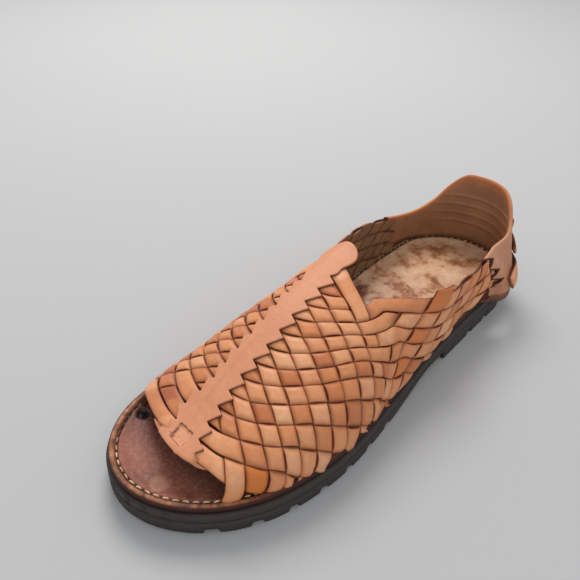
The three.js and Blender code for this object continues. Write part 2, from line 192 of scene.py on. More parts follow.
class Finish:
    """A material with a Principled shader. Its constants are set straight on the shader's sockets."""

    def __init__(self, name, **constants):
        self.material = bpy.data.materials.new(name)
        self.material.use_nodes = True
        tree = self.material.node_tree
        self.shader = next(n for n in tree.nodes if n.type == "BSDF_PRINCIPLED")
        self.start = Wire(tree, None)
        for socket, value in constants.items():
            self.shader.inputs[socket.replace("_", " ")].default_value = value

    def place(self):
        return self.start.node("ShaderNodeTexCoord", output="Object")

    def axes(self):
        split = self.start.node("ShaderNodeSeparateXYZ", (self.place(),))
        return [Wire(split.tree, split.socket.node.outputs[axis]) for axis in "XYZ"]

    def attribute(self, name):
        return self.start.node("ShaderNodeAttribute", output="Fac", attribute_name=name)

    def feed(self, colour=None, roughness=None, height=None, depth=0.0004, strength=1.0):
        put(colour, self.shader.inputs["Base Color"])
        put(roughness, self.shader.inputs["Roughness"])
        if height is not None:
            bump = {"Strength": strength, "Distance": depth, "Height": height}
            put(self.start.node("ShaderNodeBump", bump), self.shader.inputs["Normal"])
        return self.material


# %% [markdown]
# The stage is one flat, pale floor. A large soft lamp stands beyond the sandal, a weaker one fills from the
# camera's side, and the world gives the even light of a white room. The lamps are big, so that shadows
# stay faint and soft.

# %% Stage and light
FLOOR_HALF = 3.0
ROOM_COLOUR, ROOM_STRENGTH = (0.98, 0.985, 1.0, 1), 0.62
LAMPS = (  # name, place, width, power and colour
    ("key", (-0.7, 0.5, 1.1), 0.7, 13.0, (1.0, 0.97, 0.93)),
    ("fill", (0.9, -0.7, 0.9), 1.0, 2.5, (0.96, 0.98, 1.0)),
)


def floor_finish():
    finish = Finish("studio_floor", Roughness=0.9)
    cloud = finish.place().noise(1.3, 2.0)
    return finish.feed(cloud.mix(srgb("b4b5b6"), srgb("b9babb")))


def soft_lamp(name, place, size, power, colour):
    data = bpy.data.lights.new(name, "AREA")
    data.shape = "DISK"
    data.size = size
    data.energy = power
    data.color = colour
    lamp = bpy.data.objects.new(name, data)
    lamp.location = place
    lamp.rotation_mode = "QUATERNION"
    lamp.rotation_quaternion = (-Vector(place)).to_track_quat("-Z", "Y")
    bpy.context.scene.collection.objects.link(lamp)


def add_stage():
    mesh = bpy.data.meshes.new("floor")
    corners = [(x * FLOOR_HALF, y * FLOOR_HALF, 0) for x, y in ((-1, -1), (1, -1), (1, 1), (-1, 1))]
    mesh.from_pydata(corners, [], [(0, 1, 2, 3)])
    floor = bpy.data.objects.new("floor", mesh)
    bpy.context.scene.collection.objects.link(floor)
    mesh.materials.append(floor_finish())
    for lamp in LAMPS:
        soft_lamp(*lamp)
    world = bpy.data.worlds.new("room")
    world.use_nodes = True
    background = world.node_tree.nodes["Background"]
    put(ROOM_COLOUR, background.inputs["Color"])
    put(ROOM_STRENGTH, background.inputs["Strength"])
    bpy.context.scene.world = world
    bpy.context.scene.view_settings.view_transform = "Standard"


add_stage()

# %% [markdown]
# The last is described as a shoemaker's drawing would be, by a few sections from heel to toe. Here t is 0
# at the back of the heel and 1 at the tip of the toe, and the side is +1 for the outer (lateral) and -1 for
# the inner (medial) side. A table has one row for each section and a smooth curve through each column.

# %% Tables of the last
LATERAL, MEDIAL = 1, -1
SIDE_NAME = {LATERAL: "lateral", MEDIAL: "medial"}


def table(names, *rows):
    return dict(zip(names.split(), np.array(rows, float).T))


OUTLINE = table(
    "t lateral medial",
    (0.00, 35.5, 38.5), (0.15, 36.5, 41.8), (0.30, 38.8, 40.5),
    (0.42, 41.5, 38.0), (0.55, 47.0, 42.3), (0.68, 52.6, 47.3),
    (0.78, 52.2, 47.5), (0.88, 47.0, 45.8), (1.00, 42.5, 44.0),
)
CREST = table(
    "t x z",
    (0.000, -2, 150.0), (0.200, -2, 150.0), (0.300, -5, 122.0), (0.400, -13, 82.0),
    (0.450, -13, 71.5), (0.500, -13, 67.6), (0.544, -12, 64.5), (0.629, -10, 59.0),
    (0.693, -8, 53.0), (0.754, -7, 46.5), (0.805, -5, 41.0), (0.859, -2, 35.5),
    (0.907, 3, 31.0), (1.000, 8, 24.0),
)
SECTION_COLUMNS = "t inset lift bulge low lean high"
SECTION = {
    LATERAL: table(
        SECTION_COLUMNS,
        (0.00, 4.5, 0, 0, 0.30, -0.02, 0.75), (0.06, 3.0, 1, 1, 0.25, 0.20, 0.60),
        (0.11, -4.0, 3, 2, 0.10, 0.75, 0.32), (0.16, -7.0, 4, 3, 0.08, 0.90, 0.28),
        (0.21, 0.0, 2, 3, 0.12, 0.60, 0.42), (0.27, 4.5, 0, 3, 0.24, 0.15, 0.65),
        (0.36, 4.5, 0, 5, 0.32, 0.02, 0.80), (0.46, 4.5, 0, 6, 0.48, 0.25, 0.95),
        (0.56, 5.0, 0, 4, 0.55, 0.36, 1.00), (0.70, 5.0, 0, 3, 0.60, 0.36, 1.00),
        (0.85, 5.5, 0, 2, 0.62, 0.34, 1.00), (1.00, 6.0, 0, 2, 0.65, 0.34, 1.00),
    ),
    MEDIAL: table(
        SECTION_COLUMNS,
        (0.00, 4.5, 0, 0, 0.30, -0.02, 0.75), (0.06, 4.5, 0, 0, 0.30, 0.05, 0.70),
        (0.11, 3.5, 1, 1, 0.20, 0.20, 0.55), (0.16, 2.5, 2, 3, 0.20, 0.15, 0.55),
        (0.21, 3.5, 1, 5, 0.25, 0.05, 0.60), (0.27, 4.5, 0, 6, 0.30, -0.05, 0.70),
        (0.36, 4.5, 0, 6, 0.30, 0.00, 0.80), (0.46, 4.5, 0, 4, 0.48, 0.20, 0.92),
        (0.56, 5.0, 0, 2, 0.50, 0.42, 0.95), (0.70, 5.0, 0, 0, 0.52, 0.48, 0.97),
        (0.85, 5.5, 0, 0, 0.55, 0.45, 1.00), (1.00, 6.0, 0, 0, 0.60, 0.40, 1.00),
    ),
}
COLLAR = table(
    "t lateral medial",
    (0.000, 71.0, 71.0), (0.015, 70.0, 70.0), (0.040, 65.0, 60.0), (0.060, 58.0, 51.0),
    (0.090, 52.0, 45.0), (0.130, 49.5, 43.0), (0.170, 49.0, 44.5), (0.230, 48.5, 50.0),
    (0.290, 49.0, 54.5), (0.360, 51.5, 57.0), (0.430, 56.0, 58.5), (0.490, 60.0, 62.0),
    (0.530, 62.0, 64.0),
)
HEEL_CAP, TOE_CAP, INFLARE, INFLARE_FROM = 0.13, 0.17, -7.9, 0.45
HEEL_HEIGHT, BALL_HEIGHT = 16.5, 12.8
TOE_SPRING, SPRING_FROM = 2.0, 0.76
MIDSOLE_THICKNESS, INSOLE_THICKNESS, GAP = 5.2, 3.6, 0.3
LEG_AXIS = 0.2  # behind this t the sections turn about one point, as round an ankle
FRAME_SHIFT = -0.387  # from the last's middle line to the middle of the sandal's box
HALVINGS = 26  # enough to find a place to a thousandth of a millimetre
END_TURN = 0.004  # how near a grid goes to the ends of the outline


def smoothstep(x, low, high):
    s = np.clip((np.asarray(x, float) - low) / (high - low), 0, 1)
    return s * s * (3 - 2 * s)


def column(rows, name, t):
    """The smooth curve through one column: a cubic between rows, with the mean slope of its neighbours."""
    knots, value = rows["t"], rows[name]
    count = len(knots)
    before, after = np.maximum(np.arange(count) - 1, 0), np.minimum(np.arange(count) + 1, count - 1)
    slope = (value[after] - value[before]) / (knots[after] - knots[before])
    i = np.clip(np.searchsorted(knots, t), 1, count - 1)
    step = knots[i] - knots[i - 1]
    s = np.clip((t - knots[i - 1]) / step, 0, 1)
    h = s * s * (3 - 2 * s)
    rise = step * s * (1 - s)
    return value[i - 1] * (1 - h) + value[i] * h + rise * ((1 - s) * slope[i - 1] - s * slope[i])


def y_at(t):
    return LENGTH * (0.5 - t)


def t_at(y):
    return 0.5 - y / LENGTH


def turn_at(t):
    return np.arccos(np.clip(1 - 2 * t, -1, 1)) / np.pi


def t_of(turn):
    return (1 - np.cos(np.pi * turn)) / 2


def unit(v):
    return v / np.maximum(np.linalg.norm(v, axis=-1, keepdims=True), 1e-9)


# %% [markdown]
# Two functions carry the whole sandal. The first is the outline of the sole, drawn by a turn that crowds
# its steps at both ends, where the outline is round. The second is the surface of the last above it. Each
# side's section is one cubic curve, from its foot on the footbed up to the crest.

# %% Outline, levels and the last's surface
def raw_edge(side, turn):
    side, turn = np.broadcast_arrays(np.asarray(side, float), np.asarray(turn, float))
    crossed = (turn < 0) | (turn > 1)
    turn = np.where(turn < 0, -turn, np.where(turn > 1, 2 - turn, turn))
    side = np.where(crossed, -side, side)
    t = t_of(turn)
    heel = np.maximum(0, (HEEL_CAP - t) / HEEL_CAP)
    toe = np.maximum(0, (t - 1 + TOE_CAP) / TOE_CAP)
    ends = np.sqrt(np.maximum(0, 1 - heel**2)) * np.sqrt(np.maximum(0, 1 - toe**2))
    half = np.where(side > 0, column(OUTLINE, "lateral", t), column(OUTLINE, "medial", t))
    shift = INFLARE * np.maximum(0, (t - INFLARE_FROM) / (1 - INFLARE_FROM)) ** 2
    return np.stack([side * half * ends + shift, y_at(t)], -1)


def edge_point(side, turn, inset=0.0):
    side, turn, inset = (np.asarray(value, float) for value in (side, turn, inset))
    along = unit(raw_edge(side, turn + 0.004) - raw_edge(side, turn - 0.004))
    inward = np.stack([along[..., 1], -along[..., 0]], -1) * side[..., None]
    return raw_edge(side, turn) + inward * inset[..., None]


def spring(t):
    return TOE_SPRING * np.maximum(0, (t - SPRING_FROM) / (1 - SPRING_FROM)) ** 2


def rubber_top(t):
    return BALL_HEIGHT + (HEEL_HEIGHT - BALL_HEIGHT) * (1 - smoothstep(t, 0.25, 0.58)) + spring(t)


def outsole_top(t):
    return rubber_top(t) - MIDSOLE_THICKNESS


def insole_top(t):
    return rubber_top(t) + GAP + INSOLE_THICKNESS


def footbed(t):
    return insole_top(t) + GAP


def last_point(side, t, climb):
    side, t, climb = np.broadcast_arrays(*(np.asarray(value, float) for value in (side, t, climb)))

    def shape(name):
        return np.where(side > 0, column(SECTION[LATERAL], name, t), column(SECTION[MEDIAL], name, t))

    foot = edge_point(side, turn_at(t), shape("inset"))
    crest_y = np.where(t < LEG_AXIS, y_at(LEG_AXIS), foot[..., 1])
    crest = np.stack([column(CREST, "x", np.maximum(t, LEG_AXIS)), crest_y], -1)
    z = footbed(t) + shape("lift")
    across = crest - foot
    reach = np.linalg.norm(across, axis=-1)
    rise = column(CREST, "z", t) - z
    near, far, end = 3 * (1 - climb) ** 2 * climb, 3 * (1 - climb) * climb**2, climb**3
    inward = -near * shape("bulge") + far * shape("lean") * reach + end * reach
    height = (near * shape("low") + far * shape("high") + end) * rise
    level = foot + unit(across) * inward[..., None]
    return np.concatenate([level, (z + height)[..., None]], -1)


def last_normal(side, t, climb):
    side, t, climb = np.broadcast_arrays(*(np.asarray(value, float) for value in (side, t, climb)))
    c = np.clip(climb, 0.004, 0.996)
    along_t = last_point(side, t + 0.002, c) - last_point(side, np.maximum(t - 0.002, 0.0005), c)
    along_c = last_point(side, t, c + 0.004) - last_point(side, t, c - 0.004)
    return unit(np.cross(along_c, along_t)) * side[..., None]


def climb_to(side, t, z):
    """The climb at which a section reaches a height."""
    low, high = np.zeros(np.shape(t)), np.ones(np.shape(t))
    for _ in range(HALVINGS):
        middle = (low + high) / 2
        below = last_point(side, t, middle)[..., 2] < z
        low, high = np.where(below, middle, low), np.where(below, high, middle)
    return (low + high) / 2


print("crest of the last at the throat, in mm:", np.round(last_point(LATERAL, 0.5, 1.0), 1))

# %% [markdown]
# A weaver measures along the leather, not through the air. So each section is walked from its crest down
# to its foot and cut into equal steps of arc length. After this a place on the last is given as (t, arc),
# and a place below the foot simply hangs straight down, where a strap is tucked under the footbed.

# %% The last, measured along its surface
ARC_STEP = 0.5
ARC_MOST = 150.0


class Skin:
    """One side of the last as a table of points, by t and by arc length from the crest."""

    def __init__(self, side, rows=420, samples=321):
        self.t = np.linspace(0.001, 0.965, rows)
        climb = np.linspace(1, 0, samples)
        t_grid, c_grid = np.meshgrid(self.t, climb, indexing="ij")
        points = last_point(side, t_grid, c_grid)
        normals = last_normal(side, t_grid, c_grid)
        arcs = np.zeros(t_grid.shape)
        arcs[:, 1:] = np.cumsum(np.linalg.norm(np.diff(points, axis=1), axis=-1), 1)
        self.foot = arcs[:, -1]
        self.collar = np.empty(rows)
        steps = np.arange(0, ARC_MOST, ARC_STEP)
        self.points = np.empty((rows, len(steps), 3))
        self.normals = np.empty_like(self.points)
        for row in range(rows):
            for axis in range(3):
                self.points[row, :, axis] = np.interp(steps, arcs[row], points[row, :, axis])
                self.normals[row, :, axis] = np.interp(steps, arcs[row], normals[row, :, axis])
            below = np.maximum(0, steps - self.foot[row])
            self.points[row, :, 2] -= below
            height = column(COLLAR, SIDE_NAME[side], self.t[row])
            self.collar[row] = np.interp(-height, -points[row, :, 2], arcs[row])
        self.foot_y = points[:, -1, 1]

    def at(self, t, arc):
        """Points and normals at places on the skin, between the table's entries."""
        i = np.clip((t - self.t[0]) / (self.t[1] - self.t[0]), 0, len(self.t) - 1.001)
        j = np.clip(arc / ARC_STEP, 0, self.points.shape[1] - 1.001)
        i0, j0 = i.astype(int), j.astype(int)
        fi, fj = (i - i0)[..., None], (j - j0)[..., None]

        def blend(grid):
            near = grid[i0, j0] * (1 - fj) + grid[i0, j0 + 1] * fj
            far = grid[i0 + 1, j0] * (1 - fj) + grid[i0 + 1, j0 + 1] * fj
            return near * (1 - fi) + far * fi

        return blend(self.points), unit(blend(self.normals))

    def t_at(self, y):
        """t of the section whose foot lies at y."""
        return np.interp(-y, -self.foot_y, self.t)

    def foot_arc(self, t):
        return np.interp(t, self.t, self.foot)

    def collar_arc(self, t):
        return np.interp(t, self.t, self.collar)


SKIN = {side: Skin(side) for side in (LATERAL, MEDIAL)}
print("arc from crest to foot at the ball:", round(float(SKIN[LATERAL].foot_arc(0.7)), 1), "mm")

# %% [markdown]
# The weave is a lattice laid on that skin. The band has a slit every ten millimetres or so, and two lines
# start at each slit: a down line, which runs to the sole with a slight lean to the toe, and a back line,
# which leaves the band steeply and then sweeps towards the heel. A down strap lies between two down lines
# and a back strap between two back lines, so the whole weave follows from the two families of lines.
#
# Behind the throat the back lines run at even depths below the collar. The lane between the throat strap
# and the quarter's first down strap holds a strap that stays under, so the back straps float over it.

# %% The two families of lines
BAND_EDGE = 7.0  # arc at which the lines start, on each side of the crest
CORNER_ARC = 28.0  # arc of the collar at the corner of the throat
CORNER_T = 0.52
QUARTER_ROW = 9.1
MEDIAL_SHIFT = 5.5  # the inner side's slits are this much nearer to the crest
FIRST_ROW, FIRST_DEPTH = 4, 10.4
SLIT_START, SLIT_PITCH, SLIT_TIGHTENS = -1, 10.9, 0.135
EVEN_LINE, WIDER_BEHIND, TIGHTER_AHEAD = 8, 0.9, 0.84  # how a back line's bend compares with line 8's
BEND, BEND_START = 0.0185, 0.12
BEND_ENDS, DEPTH_THERE, SLOPE_AFTER = 24.8, 33.5, 1.5
QUARTER_BLEND = (-32, 12)  # y over which the back lines change to the quarter's even rows
DOWN_LEAN = table(  # here t is the number of the line
    "t lean",
    (-8, 0.95), (-2, 1.05), (-1, 0.92), (0, 0.40), (3, 0.40),
    (6, 0.47), (8, 0.52), (9, 0.68), (10, 0.95), (13, 1.1),
)
LANE_Y = table("t y", (-11, 145), (-8, 105), (-6, 85), (-4, 58.5), (-3, 45), (-2, 30), (-1, 15))


def slit_y(number):
    """Where along the foot a slit lies. The pitch tightens towards the toe."""
    return SLIT_START - SLIT_PITCH * number + SLIT_TIGHTENS * number**2


def slit_number(y):
    """The same rule turned round: the number, with its fraction, at a place y."""
    inside = np.maximum(SLIT_PITCH**2 - 4 * SLIT_TIGHTENS * (SLIT_START - y), 0)
    return (SLIT_PITCH - np.sqrt(inside)) / (2 * SLIT_TIGHTENS)


def down_line(number, q):
    """y of a down line at a depth q. Lines below zero belong to the quarter."""
    lean = column(DOWN_LEAN, "lean", number)
    vamp = slit_y(np.maximum(number, 0)) - lean * (q - BAND_EDGE)
    quarter = column(LANE_Y, "y", np.minimum(number, -1)) - lean * (q - CORNER_ARC)
    return vamp + (quarter - vamp) * np.clip(-number, 0, 1)


def back_line(number, y):
    """Depth q of a back line at a place y along the foot."""
    growth = np.where(number > EVEN_LINE, TIGHTER_AHEAD, WIDER_BEHIND) ** (number - EVEN_LINE)
    drift = (y - slit_y(number)) / growth
    curved = (np.sqrt(BEND_START**2 + 4 * BEND * np.maximum(drift, 0)) - BEND_START) / (2 * BEND)
    ahead = DEPTH_THERE + (drift - BEND_ENDS) / SLOPE_AFTER
    vamp = BAND_EDGE + np.where(drift < 0, drift * 2, np.where(drift < BEND_ENDS, curved, ahead))
    quarter = CORNER_ARC + FIRST_DEPTH + QUARTER_ROW * (number - FIRST_ROW)
    return vamp + (quarter - vamp) * smoothstep(y, *QUARTER_BLEND)


def crossing(down, back):
    """(y, q) where a down line meets a back line, found by halving an interval."""
    down, back = np.broadcast_arrays(np.asarray(down, float), np.asarray(back, float))
    low, high = np.full(down.shape, -40.0), np.full(down.shape, 160.0)
    for _ in range(HALVINGS):
        q = (low + high) / 2
        above = q < back_line(back, down_line(down, q))
        low, high = np.where(above, q, low), np.where(above, high, q)
    return down_line(down, q), q


def arc_of(side, t, q):
    """Depth q counts from the crest over the vamp, and from the collar along the quarter."""
    start = np.maximum(SKIN[side].collar_arc(t), CORNER_ARC)
    share = smoothstep(-t, -CORNER_T - 0.035, -CORNER_T + 0.045)
    over_vamp = smoothstep(t, 0.48, 0.54) * (1 - smoothstep(t, 0.80, 0.88))
    closer = MEDIAL_SHIFT * over_vamp if side == MEDIAL else 0
    return np.maximum(q + (start - CORNER_ARC) * share - closer, 0.3)


def weave_place(side, down, back):
    """t and arc of a place in the lattice."""
    y, q = crossing(down, back)
    t = SKIN[side].t_at(y)
    return t, arc_of(side, t, q)


print("slits from y", slit_y(1), "to", round(slit_y(13), 1), "mm")

# %% [markdown]
# Meshes are made from numpy grids. One helper turns closed rings of points into a capped tube, which suits
# straps, and another turns an upper and a lower sheet into one closed solid, which suits soles. Numbers that
# a material needs, such as where a strap is darkened by dirt and painted shade, are stored on the points as
# attributes.

# %% Mesh helpers
def make_piece(name, points, faces, values, material):
    """A closed mesh in millimetres becomes an object in metres that rides on the sandal's body."""
    mesh = bpy.data.meshes.new(name)
    points = (np.asarray(points, float) + (FRAME_SHIFT, 0, 0)) * MM
    mesh.from_pydata(points.tolist(), [], faces)
    mesh.validate()
    for key, value in values.items():
        layer = mesh.attributes.new(key, "FLOAT", "POINT")
        layer.data.foreach_set("value", np.asarray(value, np.float32).ravel())
    mesh.polygons.foreach_set("use_smooth", [True] * len(mesh.polygons))
    mesh.update()
    piece = bpy.data.objects.new(name, mesh)
    bpy.context.scene.collection.objects.link(piece)
    mesh.materials.append(material)
    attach(piece, BODY)
    print(f"{name}: {sum(len(f) - 2 for f in faces)} triangles")
    return piece


def signed_volume(points, faces):
    corners = np.array([face[:3] for face in faces])
    a, b, c = (points[corners[:, k]] for k in range(3))
    total = np.einsum("ij,ij->i", a, np.cross(b, c)).sum()
    quads = [face for face in faces if len(face) == 4]
    if quads:
        q = np.array(quads)
        total += np.einsum("ij,ij->i", points[q[:, 0]], np.cross(points[q[:, 2]], points[q[:, 3]])).sum()
    return total


def outward(points, faces):
    """The same faces, turned round if the solid is inside out."""
    return faces if signed_volume(points, faces) > 0 else [face[::-1] for face in faces]


def tube_faces(steps, ring, first=0):
    """Quads of a tube of rings, with a flat cap at each end."""
    faces = []
    for i in range(steps - 1):
        for j in range(ring):
            a, b = first + i * ring + j, first + i * ring + (j + 1) % ring
            faces.append((a, b, b + ring, a + ring))
    faces.append(tuple(first + j for j in reversed(range(ring))))
    faces.append(tuple(first + (steps - 1) * ring + j for j in range(ring)))
    return faces


class Pile:
    """Several closed solids gathered into one mesh."""

    def __init__(self):
        self.points, self.faces, self.values, self.count = [], [], {}, 0

    def add(self, points, faces, **values):
        points = np.asarray(points, float).reshape(-1, 3)
        faces = outward(points - points.mean(0), faces)
        self.faces += [tuple(self.count + i for i in face) for face in faces]
        self.points.append(points)
        for key, value in values.items():
            self.values.setdefault(key, []).append(np.broadcast_to(value, (len(points),)).ravel())
        self.count += len(points)

    def add_tube(self, rings, **values):
        """rings has the shape (steps, points in a ring, 3)."""
        flat = {key: np.broadcast_to(value, rings.shape[:2]).ravel() for key, value in values.items()}
        self.add(rings.reshape(-1, 3), tube_faces(*rings.shape[:2]), **flat)

    def piece(self, name, material, slot):
        values = {key: np.concatenate(value) for key, value in self.values.items()}
        return make_piece(name, np.concatenate(self.points), self.faces, values, material)


# %% [markdown]
# Leather this old has three layers of colour. The hide itself goes from pinkish tan to orange brown, strap
# by strap, and is painted darker towards each strap's edges as shade on its pillow. Every gap and every cut
# edge is painted dark, partly dirt and dark wax and partly painted shade, and rubbed places turn orange. All
# three are masks: tone, grime and worn are attributes of the mesh, and noise breaks their borders up.

# %% Leather finishes
def leather(name, light, middle, dark, rough, grime_colour):
    """Hide in three shades, with the masks of its mesh laid over it."""
    finish = Finish(name, IOR=1.45, Specular_IOR_Level=0.34)
    place = finish.place()
    tone, grime, worn = (finish.attribute(key) for key in ("tone", "grime", "worn"))
    inside = finish.attribute("inside")
    cloud = place.noise(55, 4.0, 0.6)
    fine = place.noise(420, 3.0, 0.6)
    pores = place.cells(900)
    mottle = tone * 0.74 + cloud * 0.52 - 0.13
    hide = mottle.ramp((0.12, srgb(dark)), (0.5, srgb(middle)), (0.88, srgb(light)))
    hide = ((fine - 0.5) * 0.5 + 0.25).clamp().mix(hide, srgb(dark))
    freckle = place.cells(160).ease(0.1, 0.03) * place.noise(40, 2.0).ease(0.55, 0.7)
    hide = (freckle * 0.5).mix(hide, srgb("6b3420"))
    rubbed = (worn + (cloud - 0.5) * 0.4).clamp()
    hide = rubbed.mix(hide, srgb("cf7636"))
    under = cloud.mix(srgb("5e4530"), srgb("a27c55"))
    hide = inside.mix(hide, under)
    # Dirt and painted shade: gaps and cut edges are darkened towards a dark red brown.
    dirt_and_shade_share = (grime + (cloud - 0.5) * 0.35 * grime + (fine - 0.5) * 0.25 * grime).clamp()
    colour = dirt_and_shade_share.mix(hide, srgb(grime_colour))
    sheen = (rough + dirt_and_shade_share * 0.3 + (cloud - 0.5) * 0.25).clamp()
    wrinkle = place.noise(150, 4.0, 0.55, 0.4)
    height = pores * 0.25 + fine * 0.5 + wrinkle * 0.8
    return finish.feed(colour, sheen, height, depth=0.0003, strength=0.55)


WOVEN = leather("woven_leather", "f5c094", "df9766", "a9603f", rough=0.46, grime_colour="521f10")
BAND = leather("band_leather", "ecac8a", "d8936d", "b26a4a", rough=0.52, grime_colour="521f10")
COUNTER = leather("counter_leather", "d6a080", "be8362", "8a5336", rough=0.58, grime_colour="34150b")
print("leathers:", WOVEN.name, BAND.name, COUNTER.name)

# %% [markdown]
# A strap is a flat ribbon with rounded edges and a slight crown. Where it passes over its neighbour it
# stands up by half the wall, and where it passes under it sinks by as much, in a quick dive between the
# two. That is what gives each visible cell its pillow shape.

# %% One strap
STRAP_THICKNESS = 1.5
RISE = 0.85  # height of a strap's middle over or under the middle of the wall
CROWN = 0.5
HIDDEN_T = {LATERAL: 0.178, MEDIAL: 0.196}  # straps end here, behind the heel counter
DIVE = 0.30  # how much of a cell the dive takes on each side of a line
STEPS_PER_CELL = 12
STRAP_RING = np.array([
    (-1, 0), (-0.97, 0.6), (-0.86, 0.93), (-0.5, 1), (0, 1), (0.5, 1), (0.86, 0.93), (0.97, 0.6),
    (1, 0), (0.95, -0.8), (0.5, -1), (0, -1), (-0.5, -1), (-0.95, -0.8),
])
RING_ACROSS, RING_UP = STRAP_RING.T
TOP_HALF, UNDERSIDE = RING_UP > -0.5, RING_UP < -0.5
BULGE = (1 - RING_ACROSS**2) * TOP_HALF
TUCK, SPILL = 2.2, 1.7  # how far straps sink behind the counter, and stand out over the footbed's rim
TONE_SPREAD = 0.22
TUCKED_BELOW = 2.6  # length of strap below the foot of the last
SWAY = ((0.022, 1.1), (0.018, 2.7))  # how far a strap wanders, in cells, and how often
EDGE_GAP = 0.02  # of a cell, left open on each edge of a strap
random = np.random.default_rng(7)


def over_at(places, sign_of):
    """+1 where a strap is over and -1 where it is under, with a smooth dive at each line it crosses."""
    lane = np.floor(places)
    here = np.array([sign_of(int(k)) for k in lane])
    near = np.where(places - lane < 0.5, lane - 1, lane + 1)
    there = np.array([sign_of(int(k)) for k in near])
    to_line = np.minimum(places - lane, lane + 1 - places)
    share = 1 - smoothstep(to_line, -DIVE, DIVE)
    return here * (1 - share) + there * share


def strap_rings(side, along, centre, half, sign_of, down_strap):
    """Rings of a strap that runs along the lattice, and the masks of its points."""
    height = over_at(along, sign_of)
    sway = sum(size * np.sin(along * pace + random.uniform(0, 6)) for size, pace in SWAY)
    half = half - EDGE_GAP * np.clip(height, 0, 1)[:, None]
    across = centre + sway[:, None] + RING_ACROSS * half
    run = np.broadcast_to(along[:, None], across.shape)
    place = (across, run) if down_strap else (run, across)
    t, arc = weave_place(side, *place)
    point, normal = SKIN[side].at(t, arc)
    over = np.clip(height, 0, 1)[:, None]
    tuck = TUCK * smoothstep(-t, -HIDDEN_T[side] - 0.022, -HIDDEN_T[side] - 0.006)
    foot = SKIN[side].foot_arc(t)
    beside_sole = smoothstep(t, 0.26, 0.32) * smoothstep(-t, -0.86, -0.8)
    spill = SPILL * smoothstep(arc, foot - 14, foot - 2) * beside_sole
    offset = height[:, None] * RISE + RING_UP * STRAP_THICKNESS / 2 + CROWN * BULGE * over - tuck + spill
    rings = point + normal * offset[..., None]
    edge = smoothstep(np.abs(RING_ACROSS), 0.9, 1.0) * np.ones(run.shape)
    inside = UNDERSIDE * np.ones(run.shape)
    showing = height[:, None] * (1 - 2 * inside)
    # Strap edges and the stretches under a neighbour are painted dark: dirt, and painted shade in the gaps
    # between cells.
    grime = np.clip(np.maximum(edge, 1 - smoothstep(showing, -0.3, 0.55)), 0, 1)
    # Painted shade on each pillow: darker towards the strap's edges and where it dives under its neighbour.
    pillow_shade = np.maximum(smoothstep(np.abs(RING_ACROSS), 0.45, 1.0), 1 - smoothstep(showing, 0.5, 1.0))
    return rings, grime, inside, pillow_shade


def cell_tone(along, base):
    """A tone for each cell that a strap shows, eased from cell to cell."""
    cells = np.floor(along).astype(int)
    first = cells.min() - 1
    tones = base + random.uniform(-TONE_SPREAD, TONE_SPREAD, cells.max() - first + 3)
    middle = along - 0.5
    k = np.floor(middle).astype(int) - first
    share = smoothstep(middle - np.floor(middle), 0.35, 0.65)
    return np.clip(tones[k] * (1 - share) + tones[k + 1] * share, 0, 1)


def runs_on_wall(side, centre, along, down_strap):
    """The stretches of a strap that lie on the wall, from its start to just below the foot."""
    middle = np.full(along.shape, centre)
    t, arc = weave_place(side, *((middle, along) if down_strap else (along, middle)))
    on_wall = (arc < SKIN[side].foot_arc(t) + TUCKED_BELOW) & (t > HIDDEN_T[side])
    edges = np.flatnonzero(np.diff(np.concatenate([[0], on_wall.astype(int), [0]])))
    return [along[a:b] for a, b in zip(edges[::2], edges[1::2]) if b - a > 4]


# %% [markdown]
# Now the weave itself. A down strap is over a back strap where the difference of their numbers is even,
# which is the plain weave: over one, under one. Down straps 1 to 10 come out of the band, and strap 1 is the
# throat strap, which stays over everything as far as the collar. The quarter's own down straps are numbered
# from 0 backwards, and lie one lane further along. Back strap 3 is the collar's edge.

# %% Weave
THROAT_STRAP, COLLAR_STRAP, LAST_BACK = 1, 3, 12
TOE_STRAP = {LATERAL: 10, MEDIAL: 9}
QUARTER_STRAPS = 8
LOOP_LANE = 8  # the lane where the last back strap has worn to a bright orange
FLAP_STRAP, FLAP_START = -1, -0.4  # one strap of the quarter is folded over the collar's edge
BACK_STOP = -9.9  # lattice line at which back straps reach the counter
RUN_LENGTH = 14  # in cells, more than any down strap shows
PILLOW_SHADE = 0.22  # how much darker a strap is painted towards its edges and where it dives under a neighbour, as shade on each pillow


def down_number(lane):
    """The strap in the lane between down lines lane and lane + 1, or None where it always stays under."""
    if lane >= 0:
        return lane + 1
    return None if lane == -1 else lane + 2


def is_down_over(down, back):
    if down == THROAT_STRAP and back <= COLLAR_STRAP:
        return True
    return (back - down) % 2 == 0


def run_of(first, last):
    count = int(abs(last - first) * STEPS_PER_CELL) + 1
    return np.linspace(first, last, count)


def weave(side, pile):
    """Every strap of one side: first the down straps from the toe back, then the back straps."""
    for lane in range(TOE_STRAP[side] - 1, THROAT_STRAP - 2 - QUARTER_STRAPS, -1):
        down, centre = down_number(lane), lane + 0.5
        flap = side == LATERAL and down == FLAP_STRAP
        first = lane - 0.25 if lane >= 0 else COLLAR_STRAP + (FLAP_START if flap else 0.12)
        along = run_of(first, first + RUN_LENGTH)

        def sign_of(back, down=down):
            if down is None:
                return -1
            if back < COLLAR_STRAP and down < THROAT_STRAP:
                return 1
            if back > LAST_BACK:
                return 1 if down == TOE_STRAP[LATERAL] else -1
            return 1 if is_down_over(down, back) else -1

        worn = 0.5 if flap else 0.0
        add_strap(side, pile, along, centre, sign_of, True, random.uniform(0.25, 0.85), worn)
    for back in range(1, LAST_BACK + 1):
        centre = back + 0.5
        along = run_of(back + 1.28, 0.4 if back < COLLAR_STRAP else BACK_STOP)

        def sign_of(lane, back=back):
            down = down_number(lane)
            if down is None or down > TOE_STRAP[side]:
                return 1
            return -1 if is_down_over(down, back) else 1

        worn = 0.95 if back == LAST_BACK and side == LATERAL else 0.0
        add_strap(side, pile, along, centre, sign_of, False, random.uniform(0.2, 0.8), worn)


